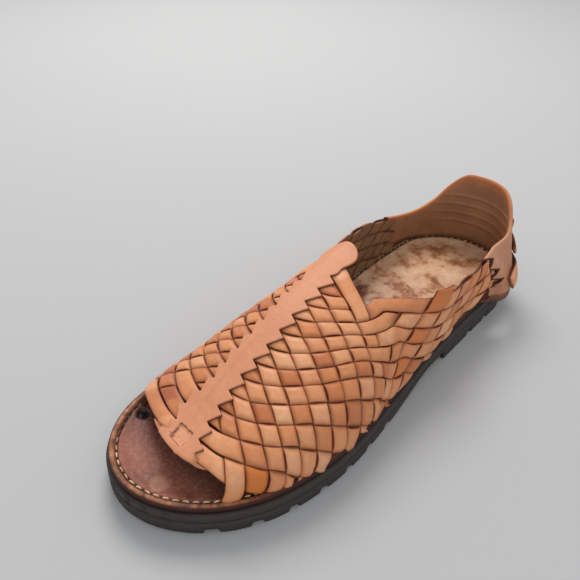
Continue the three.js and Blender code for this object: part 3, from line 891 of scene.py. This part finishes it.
def add_strap(side, pile, along, centre, sign_of, down_strap, base, worn=0.0):
    half = 0.5 - EDGE_GAP / 4
    for run in runs_on_wall(side, centre, along, down_strap):
        rings, grime, inside, pillow_shade = strap_rings(side, run, centre, half, sign_of, down_strap)
        # Each cell's tone, darkened towards its edges and dives as painted shade.
        tone = cell_tone(run, base)[:, None] - PILLOW_SHADE * pillow_shade
        loop = (run > LOOP_LANE - 0.1) & (run < LOOP_LANE + 1.1)
        rub = worn if down_strap else loop[:, None] * worn
        pile.add_tube(rings, tone=tone, grime=grime, worn=rub + random.uniform(0, 0.25), inside=inside)


woven = Pile()
for woven_side in (LATERAL, MEDIAL):
    weave(woven_side, woven)
woven_upper = woven.piece("woven_upper", WOVEN, "woven_leather")
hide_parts("upper")

# %% [markdown]
# The centre band is one piece of smooth leather, cut with a row of slits down each edge. Each slit lets one
# strap out, so the edge of the band is a saw: from every slit's tip it steps outwards along the slit and
# comes straight back at the next one. At the toe it widens into an apron that edges the opening. Two sheets
# of points, an upper and a lower one, are laid on the last's skin and closed along their edges.

# %% Centre band
BAND_THICKNESS = 1.7
BAND_LIFT = 1.55  # underside of the band over the middle of the woven wall
TIP_T, TIP_ROUND = 0.452, 0.05
TOE_FRONT, TOE_DROP = 0.930, 0.02
LIP_ARC = {LATERAL: 17.5, MEDIAL: 23.5}  # how far the lip of the toe reaches down each side
LIP_SINKS = {LATERAL: (8.5, 12), MEDIAL: (13, 17)}  # where the lip goes under the first straps
LIP_STARTS = (117.6, 119.2)
LIP_SUNK = 3.1
SAW_EDGE = {LATERAL: (6.6, 11.5), MEDIAL: (3.4, 6.8)}  # arc of the edge at a slit's tip and at its end
FLARES = {  # how much wider the edge grows, and between which t: at the round tip, then at the apron
    LATERAL: ((5.5, 0.54, 0.47),), MEDIAL: ((4.5, 0.56, 0.48), (5.0, 0.80, 0.87)),
}
CREST_BLEND = 3.0  # arc over which the two sides' normals are blended
BAND_RIM = 0.55  # how far the band's edges are rounded down
WINDOW = {"y": -116.0, "arc": -2.0, "half": 3.8, "sunk": 1.2, "skew": 0.25}


def saw(y, low, high, back_share=0.2):
    """Arc of the band's edge: it grows from low at a slit's tip to high at the slit's end."""
    number = slit_number(y)
    share = np.ceil(number) - number
    rise = np.where(share < 1 - back_share, share / (1 - back_share), (1 - share) / back_share)
    inside = smoothstep(number, 0.2, 0.9) * smoothstep(-number, -13.4, -13.0)
    return low + (high - low) * rise * inside


def band_half(side, y):
    """Arc from the crest to the band's edge."""
    t = SKIN[side].t_at(y)
    edge = saw(y, *SAW_EDGE[side])
    for wider, start, full in FLARES[side]:
        edge = edge + wider * smoothstep(t, start, full)
    edge = edge + (LIP_ARC[side] - edge) * smoothstep(-y, *LIP_STARTS)
    from_tip = np.clip((t - TIP_T) / TIP_ROUND, 0, 1)
    return edge * np.sqrt(np.maximum(1 - (1 - from_tip) ** 2, 0.003))


def toe_drop(side, arc):
    """How far the toe's edge has moved back, in t, at an arc from the crest."""
    return TOE_DROP * (arc / LIP_ARC[side]) ** 2


def window_mask(y, arc):
    """1 inside the square window of the apron, through which a strap shows."""
    along = y - WINDOW["y"]
    reach = np.maximum(np.abs(along), np.abs(arc - WINDOW["arc"] - WINDOW["skew"] * along))
    return 1 - smoothstep(reach, WINDOW["half"] - 0.3, WINDOW["half"] + 0.3)


def centre_band():
    """The band's two sheets, and the masks of the window's outline and inside."""
    rows = np.concatenate([np.linspace(0, 0.02, 12)[:-1], np.linspace(0.02, 1, 330)])
    across = np.linspace(-1, 1, 41)
    across = np.sign(across) * np.abs(across) ** 0.8
    tip, front = (SKIN[LATERAL].at(np.array([t]), np.zeros(1))[0][0, 1] for t in (TIP_T, TOE_FRONT))
    skins = []
    lines, patch = np.zeros((2, len(rows), len(across)))
    for level in (1, 0):
        sheet = np.empty((len(rows), len(across), 3))
        for k, share in enumerate(across):
            side = LATERAL if share >= 0 else MEDIAL
            y = tip + (front - tip) * rows
            arc = np.abs(share) * band_half(side, y)
            late = smoothstep(-y, 116.5, 123.5)
            t = SKIN[side].t_at(y) - toe_drop(side, arc) * late
            point, normal = SKIN[side].at(t, arc)
            other, other_normal = SKIN[-side].at(t, arc)
            if share == 0:
                point = (point + other) / 2
            blend = np.clip(1 - arc / CREST_BLEND, 0, 1)[:, None] / 2
            normal = unit(normal * (1 - blend) + other_normal * blend)
            rim = np.clip((1 - np.abs(share)) * band_half(side, y), 0, 1)
            end = np.clip(np.minimum(rows, 1 - rows) * len(rows) / 5, 0, 1)
            droop = BAND_RIM * (1 - np.sqrt(1 - (1 - np.minimum(rim, end)) ** 2 + 1e-9))
            offset = BAND_LIFT + BAND_THICKNESS * level - droop * (1 if level else -0.6)
            offset = offset - LIP_SUNK * smoothstep(arc, *LIP_SINKS[side]) * smoothstep(-y, *LIP_STARTS)
            if level:
                window = window_mask(y, arc * side)
                offset = offset - WINDOW["sunk"] * window
                lines[:, k] = np.clip(8 * window * (1 - window), 0, 1)
                patch[:, k] = window
            sheet[:, k] = point + normal * np.reshape(offset, (-1, 1))
        skins.append(sheet)
    return rows, across, lines, patch, skins


def closed_sheets(top, bottom):
    """Points and faces of a solid between two sheets of the same layout."""
    rows, columns = top.shape[:2]
    points = np.concatenate([top.reshape(-1, 3), bottom.reshape(-1, 3)])
    low = rows * columns
    faces = []
    for i in range(rows - 1):
        for j in range(columns - 1):
            a = i * columns + j
            faces.append((a, a + 1, a + columns + 1, a + columns))
            faces.append((low + a, low + a + columns, low + a + columns + 1, low + a + 1))
    for i in range(rows - 1):
        a, b = i * columns, (i + 1) * columns
        faces.append((a, b, low + b, low + a))
        a, b = a + columns - 1, b + columns - 1
        faces.append((a, low + a, low + b, b))
    for j in range(columns - 1):
        faces.append((j, low + j, low + j + 1, j + 1))
        a = (rows - 1) * columns + j
        faces.append((a, a + 1, low + a + 1, low + a))
    return points, faces


band_rows, band_across, window_lines, window_patch, (band_top, band_bottom) = centre_band()
band_points, band_faces = closed_sheets(band_top, band_bottom)
# The band's cut edges and the window's outline are painted dark, as their shadow with some dirt, and the
# underside, which lies in shade, is painted dark all over.
band_edge = np.clip(1 - (1 - np.abs(band_across)) / 0.06, 0, 1)[None, :] * np.ones((len(band_rows), 1))
band_edge = np.maximum(band_edge, window_lines)
band_pile = Pile()
band_tone = 0.62 + 0.3 * window_patch
band_pile.add(
    band_points, band_faces,
    tone=np.tile(band_tone.ravel(), 2), worn=0.03,
    grime=np.concatenate([band_edge.ravel() * 0.8, np.ones(band_edge.size)]),
    inside=np.concatenate([np.zeros(band_edge.size), np.ones(band_edge.size)]),
)
centre_band_piece = band_pile.piece("centre_band_leather", BAND, "band_leather")
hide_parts("centre_band")

# %% [markdown]
# The sole is two layers of black rubber and a leather footbed. Each layer is a slab between two height
# fields over the same plan grid. The grid is fine near the rim, so that edges can be rounded and grooves
# cut into the tread simply by raising the lower sheet.

# %% Slabs
def plan(inset, stations=300, across=56):
    """A grid of plan points inside the outline, with its t and each point's distance from the rim."""
    turn = np.linspace(END_TURN, 1 - END_TURN, stations)
    inner, outer = edge_point(MEDIAL, turn, inset), edge_point(LATERAL, turn, inset)
    share = (1 - np.cos(np.linspace(0, np.pi, across))) / 2
    grid = inner[:, None] + (outer - inner)[:, None] * share[None, :, None]
    turns = np.linspace(0, 1, 700)
    outline = np.concatenate([edge_point(side, turns, inset) for side in (LATERAL, MEDIAL)])
    rim = np.array([np.hypot(*(row[:, None] - outline[None]).transpose(2, 0, 1)).min(1) for row in grid])
    t = np.broadcast_to(t_of(turn)[:, None], rim.shape)
    return grid, t, rim


def round_over(rim, radius):
    """How far a surface drops beside a rounded edge."""
    into = np.clip(radius - rim, 0, radius)
    return radius - np.sqrt(radius**2 - into**2 + 1e-9)


def slab_piece(name, grid, low, high, values, material, slot, *nodes):
    """A solid between the height fields low and high, shown in place of its CAD nodes."""
    top = np.concatenate([grid, high[..., None]], -1)
    bottom = np.concatenate([grid, low[..., None]], -1)
    points, faces = closed_sheets(top, bottom)
    pile = Pile()
    pile.add(points, faces, **values)
    piece = pile.piece(name, material, slot)
    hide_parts(*nodes)


# %% [markdown]
# Rubber that has walked for years is not black but a greenish charcoal, dusted grey where it scuffs and
# polished where it rubs. The moulded side wall has a fine pebble, and dust settles in the parting line.

# %% Rubber
def rubber(name, base, dust):
    finish = Finish(name, IOR=1.5, Specular_IOR_Level=0.35)
    place = finish.place()
    cloud = place.noise(38, 5.0, 0.65)
    fine = place.noise(600, 3.0, 0.6)
    scuff = place.scaled(1, 1, 3).noise(160, 4.0, 0.7).ease(0.56, 0.74)
    colour = (cloud * 0.7 + fine * 0.3).mix(srgb(base), srgb(dust))
    colour = (scuff * 0.35).mix(colour, srgb("4a4d49"))
    rough = (0.62 + (cloud - 0.5) * 0.3).clamp()
    height = fine * 0.6 + place.cells(750) * 0.4
    return finish.feed(colour, rough, height, depth=0.0003, strength=0.6)


OUTSOLE_RUBBER = rubber("outsole_rubber", "242120", "463f3a")
MIDSOLE_RUBBER = rubber("midsole_rubber", "262321", "4a423d")

print("rubbers:", OUTSOLE_RUBBER.name, MIDSOLE_RUBBER.name)

# %% [markdown]
# The outsole is moulded, with a heel block, a raised arch and grooves between its lugs. Cutting each groove
# with a boolean would be slow and leave ragged edges. Instead the lower sheet of the slab is lifted wherever
# a groove's mask is 1, so the grid alone decides how crisp a lug is. The midsole is the plain layer above.

# %% Outsole and midsole
LUG = {"pitch": 17.8, "depth": 3.2, "width": 5.0, "reach": 17.0, "skew": 0.16}
ARCH_CLEARANCE, BREAST, ARCH_FRONT, FIRST_LUG = 7.0, 0.345, 0.56, 0.93
HEEL_GROOVES = (0.10, 0.17, 0.24)
BAR_LENGTH = 26.0


def tread(t):
    """Height of the sole's underside above the floor, without its grooves."""
    arch = ARCH_CLEARANCE * (1 - smoothstep(t, BREAST + 0.06, ARCH_FRONT))
    step = smoothstep(t, BREAST - 0.002, BREAST + 0.004)
    return arch * step + spring(t)


def groove_mask(grid, x, y, half_length, turn):
    """1 inside a groove, with a wall half a millimetre wide."""
    dx, dy = grid[..., 0] - x, grid[..., 1] - y
    along = dx * math.cos(turn) + dy * math.sin(turn)
    across = -dx * math.sin(turn) + dy * math.cos(turn)
    inside = 1 - smoothstep(np.abs(across), LUG["width"] / 2 - 0.3, LUG["width"] / 2 + 0.3)
    return inside * (1 - smoothstep(np.abs(along), half_length - 0.4, half_length + 0.4))


def tread_grooves(grid):
    """A slanted groove at both edges of each row, and a bar across the middle between the rows."""
    mask = np.zeros(grid.shape[:2])
    rows = np.arange(y_at(FIRST_LUG), y_at(ARCH_FRONT), LUG["pitch"])
    edges = [t_at(y) for y in rows] + list(HEEL_GROOVES)
    for t in edges:
        for side in (LATERAL, MEDIAL):
            edge = edge_point(side, turn_at(t))
            x = edge[0] - side * (LUG["reach"] / 2 - 4)
            turned = side * LUG["skew"]
            mask = np.maximum(mask, groove_mask(grid, x, edge[1], LUG["reach"] / 2 + 4, turned))
    for y in rows + LUG["pitch"] / 2:
        turn = turn_at(t_at(y))
        middle = (edge_point(LATERAL, turn)[0] + edge_point(MEDIAL, turn)[0]) / 2
        mask = np.maximum(mask, groove_mask(grid, middle, y, BAR_LENGTH / 2, 0.0))
    return mask


def outsole():
    grid, t, rim = plan(0.0, stations=420, across=72)
    groove = tread_grooves(grid)
    low = tread(t) + round_over(rim, 0.9) * 0.8
    low = np.maximum(low, groove * (spring(t) + LUG["depth"]))
    high = outsole_top(t) - round_over(rim, 0.7) * 0.8
    slab_piece("outsole_rubber_sole", grid, low, high, {}, OUTSOLE_RUBBER, "outsole_rubber", "outsole")


def midsole():
    grid, t, rim = plan(0.15, stations=240, across=32)
    low = outsole_top(t) + GAP + round_over(rim, 0.6) * 0.8
    high = rubber_top(t) - round_over(rim, 1.1) * 0.8
    slab_piece("midsole_rubber_layer", grid, low, high, {}, MIDSOLE_RUBBER, "midsole_rubber", "midsole")


outsole()
midsole()

# %% [markdown]
# The footbed is thick leather with a turned, stitched rim: a round bead along the edge, a groove beside it
# that holds the stitches, and a dish pressed in by the foot. Sweat has darkened it under the toes and
# polished it red brown under the arch, and the heel is rubbed back to pale hide with brown stains. Where
# the vamp covers it, it is painted almost black, and the bead is painted darker behind the toe, as shade.

# %% Footbed
FOOTBED_INSET = 1.6
BEAD, BEAD_HEIGHT = 3.0, 0.9
GROOVE_AT, GROOVE_WIDTH, GROOVE_DEPTH = 3.8, 0.9, 0.9
DISH_DEPTH, RIM_DROP, WAVE = 1.3, 0.7, 0.12
HOLE = {"x": -37.0, "y": -114.0, "radius": 3.2}
TOE_PRINT = {"x": 3.0, "y": -133.0, "radius": 4.6}


def footbed_finish():
    finish = Finish("footbed_leather", IOR=1.45, Specular_IOR_Level=0.4)
    place = finish.place()
    _, along, _ = finish.axes()
    bead, hole, print_ring = (finish.attribute(key) for key in ("bead", "hole", "print"))
    groove = finish.attribute("groove")
    cloud = place.noise(32, 5.0, 0.62, 0.3)
    patch = place.noise(75, 6.0, 0.7, 0.3)
    fine = place.noise(520, 3.0, 0.6)
    toes = cloud.ramp((0.3, srgb("52261a")), (0.5, srgb("7e4334")), (0.7, srgb("a0604c")))
    middle = patch.ramp((0.32, srgb("5e2a20")), (0.5, srgb("8a4430")), (0.68, srgb("ad6a4c")))
    stain = place.noise(48, 7.0, 0.72, 0.15)
    heel = stain.ramp(
        (0.34, srgb("6f3a20")), (0.44, srgb("a1683f")), (0.5, srgb("c89b76")), (0.66, srgb("dcb998")),
    )
    noisy_along = along + (cloud - 0.5) * 0.05
    colour = noisy_along.ease(-0.10, -0.03).mix(toes, middle)
    colour = (along + (stain - 0.5) * 0.16).ease(0.036, 0.062).mix(colour, heel)
    # Painted shadow: the footbed is darkened almost to black where the vamp covers it.
    vamp_shadow = noisy_along.ease(-0.128, -0.105) * noisy_along.ease(-0.05, -0.085)
    colour = (vamp_shadow * 0.7).mix(colour, srgb("271a12"))
    colour = (fine.ease(0.4, 0.75) * 0.3).mix(colour, srgb("b98a74"))
    colour = (print_ring * (0.35 + cloud * 0.7)).clamp().mix(colour, srgb("b07d60"))
    rubbed = place.noise(110, 5.0, 0.75)
    bead_wear_and_shade = rubbed.ramp((0.36, srgb("4a2519")), (0.5, srgb("8d5637")), (0.66, srgb("bd8458")))
    # Behind the toe the woven wall stands over the bead, and the bead is painted darker there as its shade.
    bead_wear_and_shade = (along.ease(-0.118, -0.1) * 0.6).mix(bead_wear_and_shade, srgb("43211a"))
    colour = bead.mix(colour, bead_wear_and_shade)
    colour = (groove * 0.85).mix(colour, srgb("2a120c"))
    # The hole's pit is painted near black, as the shade inside a hole.
    colour = hole.mix(colour, srgb("120a07"))
    colour = finish.attribute("side").mix(colour, srgb("3a1a12"))
    rough = (0.42 + cloud * 0.25).clamp()
    wrinkle = place.noise(210, 4.0, 0.6)
    return finish.feed(colour, rough, fine * 0.6 + wrinkle * 0.7, depth=0.0003, strength=0.6)


def footbed_piece():
    grid, t, rim = plan(FOOTBED_INSET, stations=420, across=90)
    dish = DISH_DEPTH * smoothstep(rim, GROOVE_AT, GROOVE_AT + 7)
    bead = 1 - smoothstep(rim, BEAD - 0.5, BEAD + 0.3)
    hump = np.sqrt(np.maximum(0, 1 - ((rim - BEAD / 2) / (BEAD / 2 + 0.15)) ** 2))
    groove = np.exp(-((rim - GROOVE_AT) / (GROOVE_WIDTH * 0.6)) ** 2)
    high = insole_top(t) - dish - GROOVE_DEPTH * groove - RIM_DROP + BEAD_HEIGHT * hump * bead
    from_hole = np.hypot(grid[..., 0] - HOLE["x"], grid[..., 1] - HOLE["y"])
    hole = 1 - smoothstep(from_hole, HOLE["radius"] - 0.35, HOLE["radius"] + 0.35)
    from_print = np.hypot(grid[..., 0] - TOE_PRINT["x"], grid[..., 1] - TOE_PRINT["y"])
    ring = np.exp(-((from_print - TOE_PRINT["radius"]) / 0.7) ** 2)
    disc = 1 - smoothstep(from_print, TOE_PRINT["radius"] - 1, TOE_PRINT["radius"] + 0.4)
    high = high - 0.22 * ring + 0.08 * disc
    low = rubber_top(t) + GAP + 0.02
    high = high * (1 - hole) + (low + 0.25) * hole
    # A hide is never quite flat: a shallow wave runs over the dish.
    wave = np.sin(grid[..., 0] * 0.31 + 1) * np.sin(grid[..., 1] * 0.17)
    high = high + WAVE * wave * smoothstep(rim, 6, 14)
    tops = {"bead": bead, "hole": hole, "print": disc * 0.7 + ring * 0.3, "groove": groove}
    values = {key: np.concatenate([value.ravel(), np.zeros(value.size)]) for key, value in tops.items()}
    values["side"] = np.concatenate([1 - smoothstep(rim, 0.1, 0.9).ravel(), np.ones(rim.size)])
    finish = footbed_finish()
    slab_piece("footbed_leather_sheet", grid, low, high, values, finish, "footbed_leather", "insole")


footbed_piece()

# %% [markdown]
# Stitches repeat along a path, which is work for Geometry Nodes. The groove's centre line becomes a curve,
# the tree sets one small stitch on every point of it, turned to follow the curve, and then makes the copies
# real, because instances don't survive an export. The spacing is a named input of the tree.

# %% Stitches
STITCH_PITCH, STITCH_SINK = 4.6, -0.75
STITCH_LENGTH, THREAD_RADIUS = 3.4, 0.42
WOBBLE, WOBBLE_AXES, WOBBLE_SEED = 0.12, (0.4, 0.4, 1.0), 3


def stitch_shape():
    """One stitch: a short thread that dips into the leather at both ends."""
    sides, steps = 6, 6
    turn = np.linspace(0, 2 * np.pi, sides, endpoint=False)
    rings = []
    for step in np.linspace(-1, 1, steps):
        bulge = math.sqrt(max(0.0, 1 - step**4)) * THREAD_RADIUS + 0.05
        x, z = step * STITCH_LENGTH / 2, 0.25 - 0.55 * step**2
        rings.append([(x, bulge * math.cos(a), z + bulge * math.sin(a)) for a in turn])
    points = np.array(rings).reshape(-1, 3)
    faces = outward(points, tube_faces(steps, sides))
    mesh = bpy.data.meshes.new("stitch")
    mesh.from_pydata((points * MM).tolist(), [], faces)
    mesh.polygons.foreach_set("use_smooth", [True] * len(mesh.polygons))
    return bpy.data.objects.new("stitch_shape", mesh)


def thread_finish():
    finish = Finish("waxed_thread", IOR=1.45)
    place = finish.place()
    across = finish.axes()[0]
    colour = place.noise(300, 3.0).ramp((0.3, srgb("a77b52")), (0.5, srgb("d3b189")), (0.7, srgb("ead3b0")))
    # Stitches on the inner side are painted dark brown, as the shade of the inner wall over them.
    colour = across.ease(-0.024, -0.036).mix(colour, srgb("4a2b1c"))
    return finish.feed(colour, 0.75, place.noise(1500, 2.0), depth=0.0001, strength=0.5)


def stitch_tree(shape, material):
    """Curve in, one solid stitch on every evenly spaced point out."""
    tree = bpy.data.node_groups.new("stitch_line", "GeometryNodeTree")
    _, pitch, wobble, _ = (
        tree.interface.new_socket(name, in_out=way, socket_type="NodeSocket" + kind)
        for name, way, kind in (
            ("Geometry", "INPUT", "Geometry"), ("Pitch", "INPUT", "Float"),
            ("Wobble", "INPUT", "Float"), ("Geometry", "OUTPUT", "Geometry"),
        )
    )
    enter, leave = tree.nodes.new("NodeGroupInput"), tree.nodes.new("NodeGroupOutput")
    line, spacing, loose = (Wire(tree, enter.outputs[name]) for name in ("Geometry", "Pitch", "Wobble"))
    points = line.node("GeometryNodeCurveToPoints", {"Curve": line, "Length": spacing}, mode="LENGTH")
    tangent = Wire(tree, points.socket.node.outputs["Tangent"])
    turned = line.node("FunctionNodeAlignRotationToVector", {"Vector": tangent}, axis="X")
    upright = {"Rotation": turned, "Vector": (0, 0, 1)}
    turned = line.node("FunctionNodeAlignRotationToVector", upright, axis="Z", pivot_axis="X")
    stitch = line.node("GeometryNodeObjectInfo", {"Object": shape}, output="Geometry")
    placed = {"Points": points, "Instance": stitch, "Rotation": turned}
    placed = line.node("GeometryNodeInstanceOnPoints", placed)
    most = line.node("ShaderNodeVectorMath", {0: WOBBLE_AXES, "Scale": loose}, operation="SCALE")
    least = line.node("ShaderNodeVectorMath", {0: most, "Scale": -1.0}, operation="SCALE")
    random_turn = {"Min": least, "Max": most, "Seed": WOBBLE_SEED}
    random_turn = line.node("FunctionNodeRandomValue", random_turn, data_type="FLOAT_VECTOR")
    loosened = line.node("GeometryNodeRotateInstances", {"Instances": placed, "Rotation": random_turn})
    solid = line.node("GeometryNodeRealizeInstances", {"Geometry": loosened})
    painted = line.node("GeometryNodeSetMaterial", {"Geometry": solid, "Material": material})
    put(painted, leave.inputs["Geometry"])
    return tree, pitch.identifier, wobble.identifier


def closed_curve(name, points):
    data = bpy.data.curves.new(name, "CURVE")
    data.dimensions = "3D"
    line = data.splines.new("POLY")
    line.points.add(len(points) - 1)
    placed = (np.asarray(points) + (FRAME_SHIFT, 0, 0)) * MM
    line.points.foreach_set("co", np.concatenate([placed, np.ones((len(points), 1))], 1).ravel())
    line.use_cyclic_u = True
    curve = bpy.data.objects.new(name, data)
    bpy.context.scene.collection.objects.link(curve)
    return curve


def groove_line(inset, height, count=300):
    """The groove's middle line, all round the footbed."""
    turn = np.linspace(END_TURN, 1 - END_TURN, count)
    outer = edge_point(LATERAL, turn, inset)
    inner = edge_point(MEDIAL, turn, inset)[::-1]
    z = insole_top(t_of(turn)) + height
    return np.concatenate([np.column_stack([outer, z]), np.column_stack([inner, z[::-1]])])


def stitches():
    shape = stitch_shape()
    tree, pitch, wobble = stitch_tree(shape, thread_finish())
    path = closed_curve("stitch_path", groove_line(FOOTBED_INSET + GROOVE_AT, STITCH_SINK))
    modifier = path.modifiers.new("stitches", "NODES")
    modifier.node_group = tree
    modifier[pitch] = STITCH_PITCH * MM
    modifier[wobble] = WOBBLE
    evaluated = path.evaluated_get(bpy.context.evaluated_depsgraph_get())
    mesh = bpy.data.meshes.new_from_object(evaluated)
    piece = bpy.data.objects.new("rim_stitches", mesh)
    bpy.context.scene.collection.objects.link(piece)
    bpy.data.objects.remove(path)
    bpy.data.objects.remove(shape)
    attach(piece, BODY)
    print("rim_stitches:", len(mesh.polygons), "faces")


stitches()

# %% [markdown]
# The heel counter is one smooth, thick piece of leather that wraps the back of the foot and flares into a
# tab on the outer side. On that side its front edge is a zigzag, where the quarter's straps are laced in,
# and its lower corner runs on under the weave so that no gap is left there. On the inner side the edge is
# plain. Years of being trodden down have left soft creases on the inside.

# %% Heel counter
COUNTER_THICKNESS = 2.4
JOINT_T, JOINT_SWING = 0.215, 0.004
TEETH, TEETH_T, TOOTH_REACH = 5, 0.164, 0.038
TONGUE_T, TONGUE_TUCK = 0.222, 1.7  # the lower front corner, under the weave
TONGUE_TOP = (0.34, 0.50)  # share of the height over which it ends
CREASE_DEPTH, CREASE_PITCH = 0.8, 6.6


def counter_end(side, climb_share):
    """t of the counter's front edge: a zigzag on the outer side, a plain edge on the inner side."""
    if side == MEDIAL:
        return JOINT_T - JOINT_SWING * np.cos(climb_share * np.pi * 3)
    wave = np.abs(((climb_share * TEETH) % 1) - 0.5) * 2
    teeth = TEETH_T + TOOTH_REACH * wave * smoothstep(climb_share, 0.02, 0.12)
    teeth = teeth + 0.01 * smoothstep(climb_share, 0.8, 1)
    return np.maximum(teeth, TONGUE_T * (1 - smoothstep(climb_share, *TONGUE_TOP)))


def counter_grid(levels=64, steps=110):
    """Shares of the height, and each side's t and climb from the middle of the heel to the front edge."""
    share, turn_share = np.linspace(0, 1, levels), np.linspace(0, 1, steps)
    grids = []
    for side in (LATERAL, MEDIAL):
        end = turn_at(counter_end(side, share))
        t = t_of(turn_share[:, None] * end[None, :])
        top = climb_to(side, t, column(COLLAR, SIDE_NAME[side], t))
        grids.append((t, share[None, :] * top))
    return share, grids


def counter_sheets():
    """The outer and the inner sheet, from the outer side's front edge round the heel to the inner side's."""
    share, grids = counter_grid()
    sheets = []
    for level in (0.5, -0.5):
        parts = []
        for side, (t, climb) in zip((LATERAL, MEDIAL), grids):
            point = last_point(side, t, climb)
            edge = round_over(np.minimum((1 - share) * 40, 2.0), 1.1)
            offset = COUNTER_THICKNESS * level - np.sign(level) * edge * 0.9 + np.zeros(t.shape)
            if level < 0:
                height = point[..., 2]
                fade = smoothstep(height, 30, 36) * smoothstep(-height, -62, -56)
                fade = fade * smoothstep(-t, -0.075, -0.02)
                ridge = np.maximum(0, np.sin(height * 2 * np.pi / CREASE_PITCH)) ** 4
                offset = offset - CREASE_DEPTH * fade * ridge
            if side == LATERAL:
                tucked = smoothstep(t, 0.172, 0.190) * (1 - smoothstep(share, *TONGUE_TOP))
                offset = offset - TONGUE_TUCK * tucked
            z_floor = footbed(t)
            skin = point + last_normal(side, t, climb) * offset[..., None]
            skin[..., 2] = np.maximum(skin[..., 2], z_floor)
            skin[:, 0, 2] = z_floor[:, 0] - 1.2
            parts.append(skin)
        sheets.append(np.concatenate([parts[0][::-1], parts[1][1:]]))
    return sheets


def counter_piece():
    outer, inner = counter_sheets()
    points, faces = closed_sheets(outer, inner)
    rows, columns = outer.shape[:2]
    share = np.tile(np.linspace(0, 1, columns), (rows, 1))
    ends = np.zeros((rows, 1))
    ends[:4] = ends[-3:] = 1
    dirt_and_shade_share = np.maximum((1 - smoothstep(share, 0.0, 0.10)) * 0.7, ends)
    tone = 0.62 + 0.3 * smoothstep(share, 0.3, 1.0)
    clean = np.zeros(share.size)
    pile = Pile()
    pile.add(
        points, faces,
        tone=np.concatenate([tone.ravel(), tone.ravel() * 0.7]),
        grime=np.tile(dirt_and_shade_share.ravel() * 0.9, 2),
        worn=np.concatenate([clean, 0.6 * smoothstep(share, 0.85, 1).ravel()]),
        inside=np.concatenate([clean, 0.55 * (1 - smoothstep(share, 0.8, 1)).ravel()]),
    )
    piece = pile.piece("heel_counter_leather", COUNTER, "counter_leather")
    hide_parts("heel_counter")


counter_piece()

# %% [markdown]
# Three straps run on from the weave and cross the outside of the counter, one above the other. They are
# ribbons at a set height, so their rings come straight from the last at that height.

# %% Back straps
STRAP_BASE, STRAP_PITCH, STRAP_HEIGHT = 24.5, 10.5, 9.0
STRAP_ENDS = (0.15, 0.08, 0.035)
STRAP_OFFSET, STRAP_HALF_THICKNESS, STRAP_CROWN = 3.0, 0.8, 0.3


def back_strap(number):
    steps = 60
    end = turn_at(STRAP_ENDS[number])
    middle = STRAP_BASE + number * STRAP_PITCH + STRAP_HEIGHT / 2
    halves = []
    for side in (LATERAL, MEDIAL):
        turn = np.linspace(END_TURN, end, steps)[:, None] * np.ones(len(STRAP_RING))
        t = t_of(turn)
        taper = 1 - 0.35 * smoothstep(turn / end, 0.75, 1.0)
        z = middle + RING_ACROSS * STRAP_HEIGHT / 2 * taper + 0.5 * np.sin(turn * 9 + number)
        climb = climb_to(side, t, z)
        offset = STRAP_OFFSET + RING_UP * STRAP_HALF_THICKNESS + STRAP_CROWN * BULGE
        rings = last_point(side, t, climb) + last_normal(side, t, climb) * offset[:, None]
        halves.append(rings)
    rings = np.concatenate([halves[0][::-1], halves[1][1:]])
    # The straps' edges are painted dark: dirt, and the shade along their edges.
    edge = smoothstep(np.abs(RING_ACROSS), 0.86, 1.0)
    pile = Pile()
    pile.add_tube(rings, tone=random.uniform(0.4, 0.7), grime=edge, worn=0.1, inside=UNDERSIDE * 1.0)
    piece = pile.piece(f"back_strap_{number + 1}_leather", WOVEN, "woven_leather")
    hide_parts(f"back_strap_{number + 1}")


for strap_number in range(len(STRAP_ENDS)):
    back_strap(strap_number)
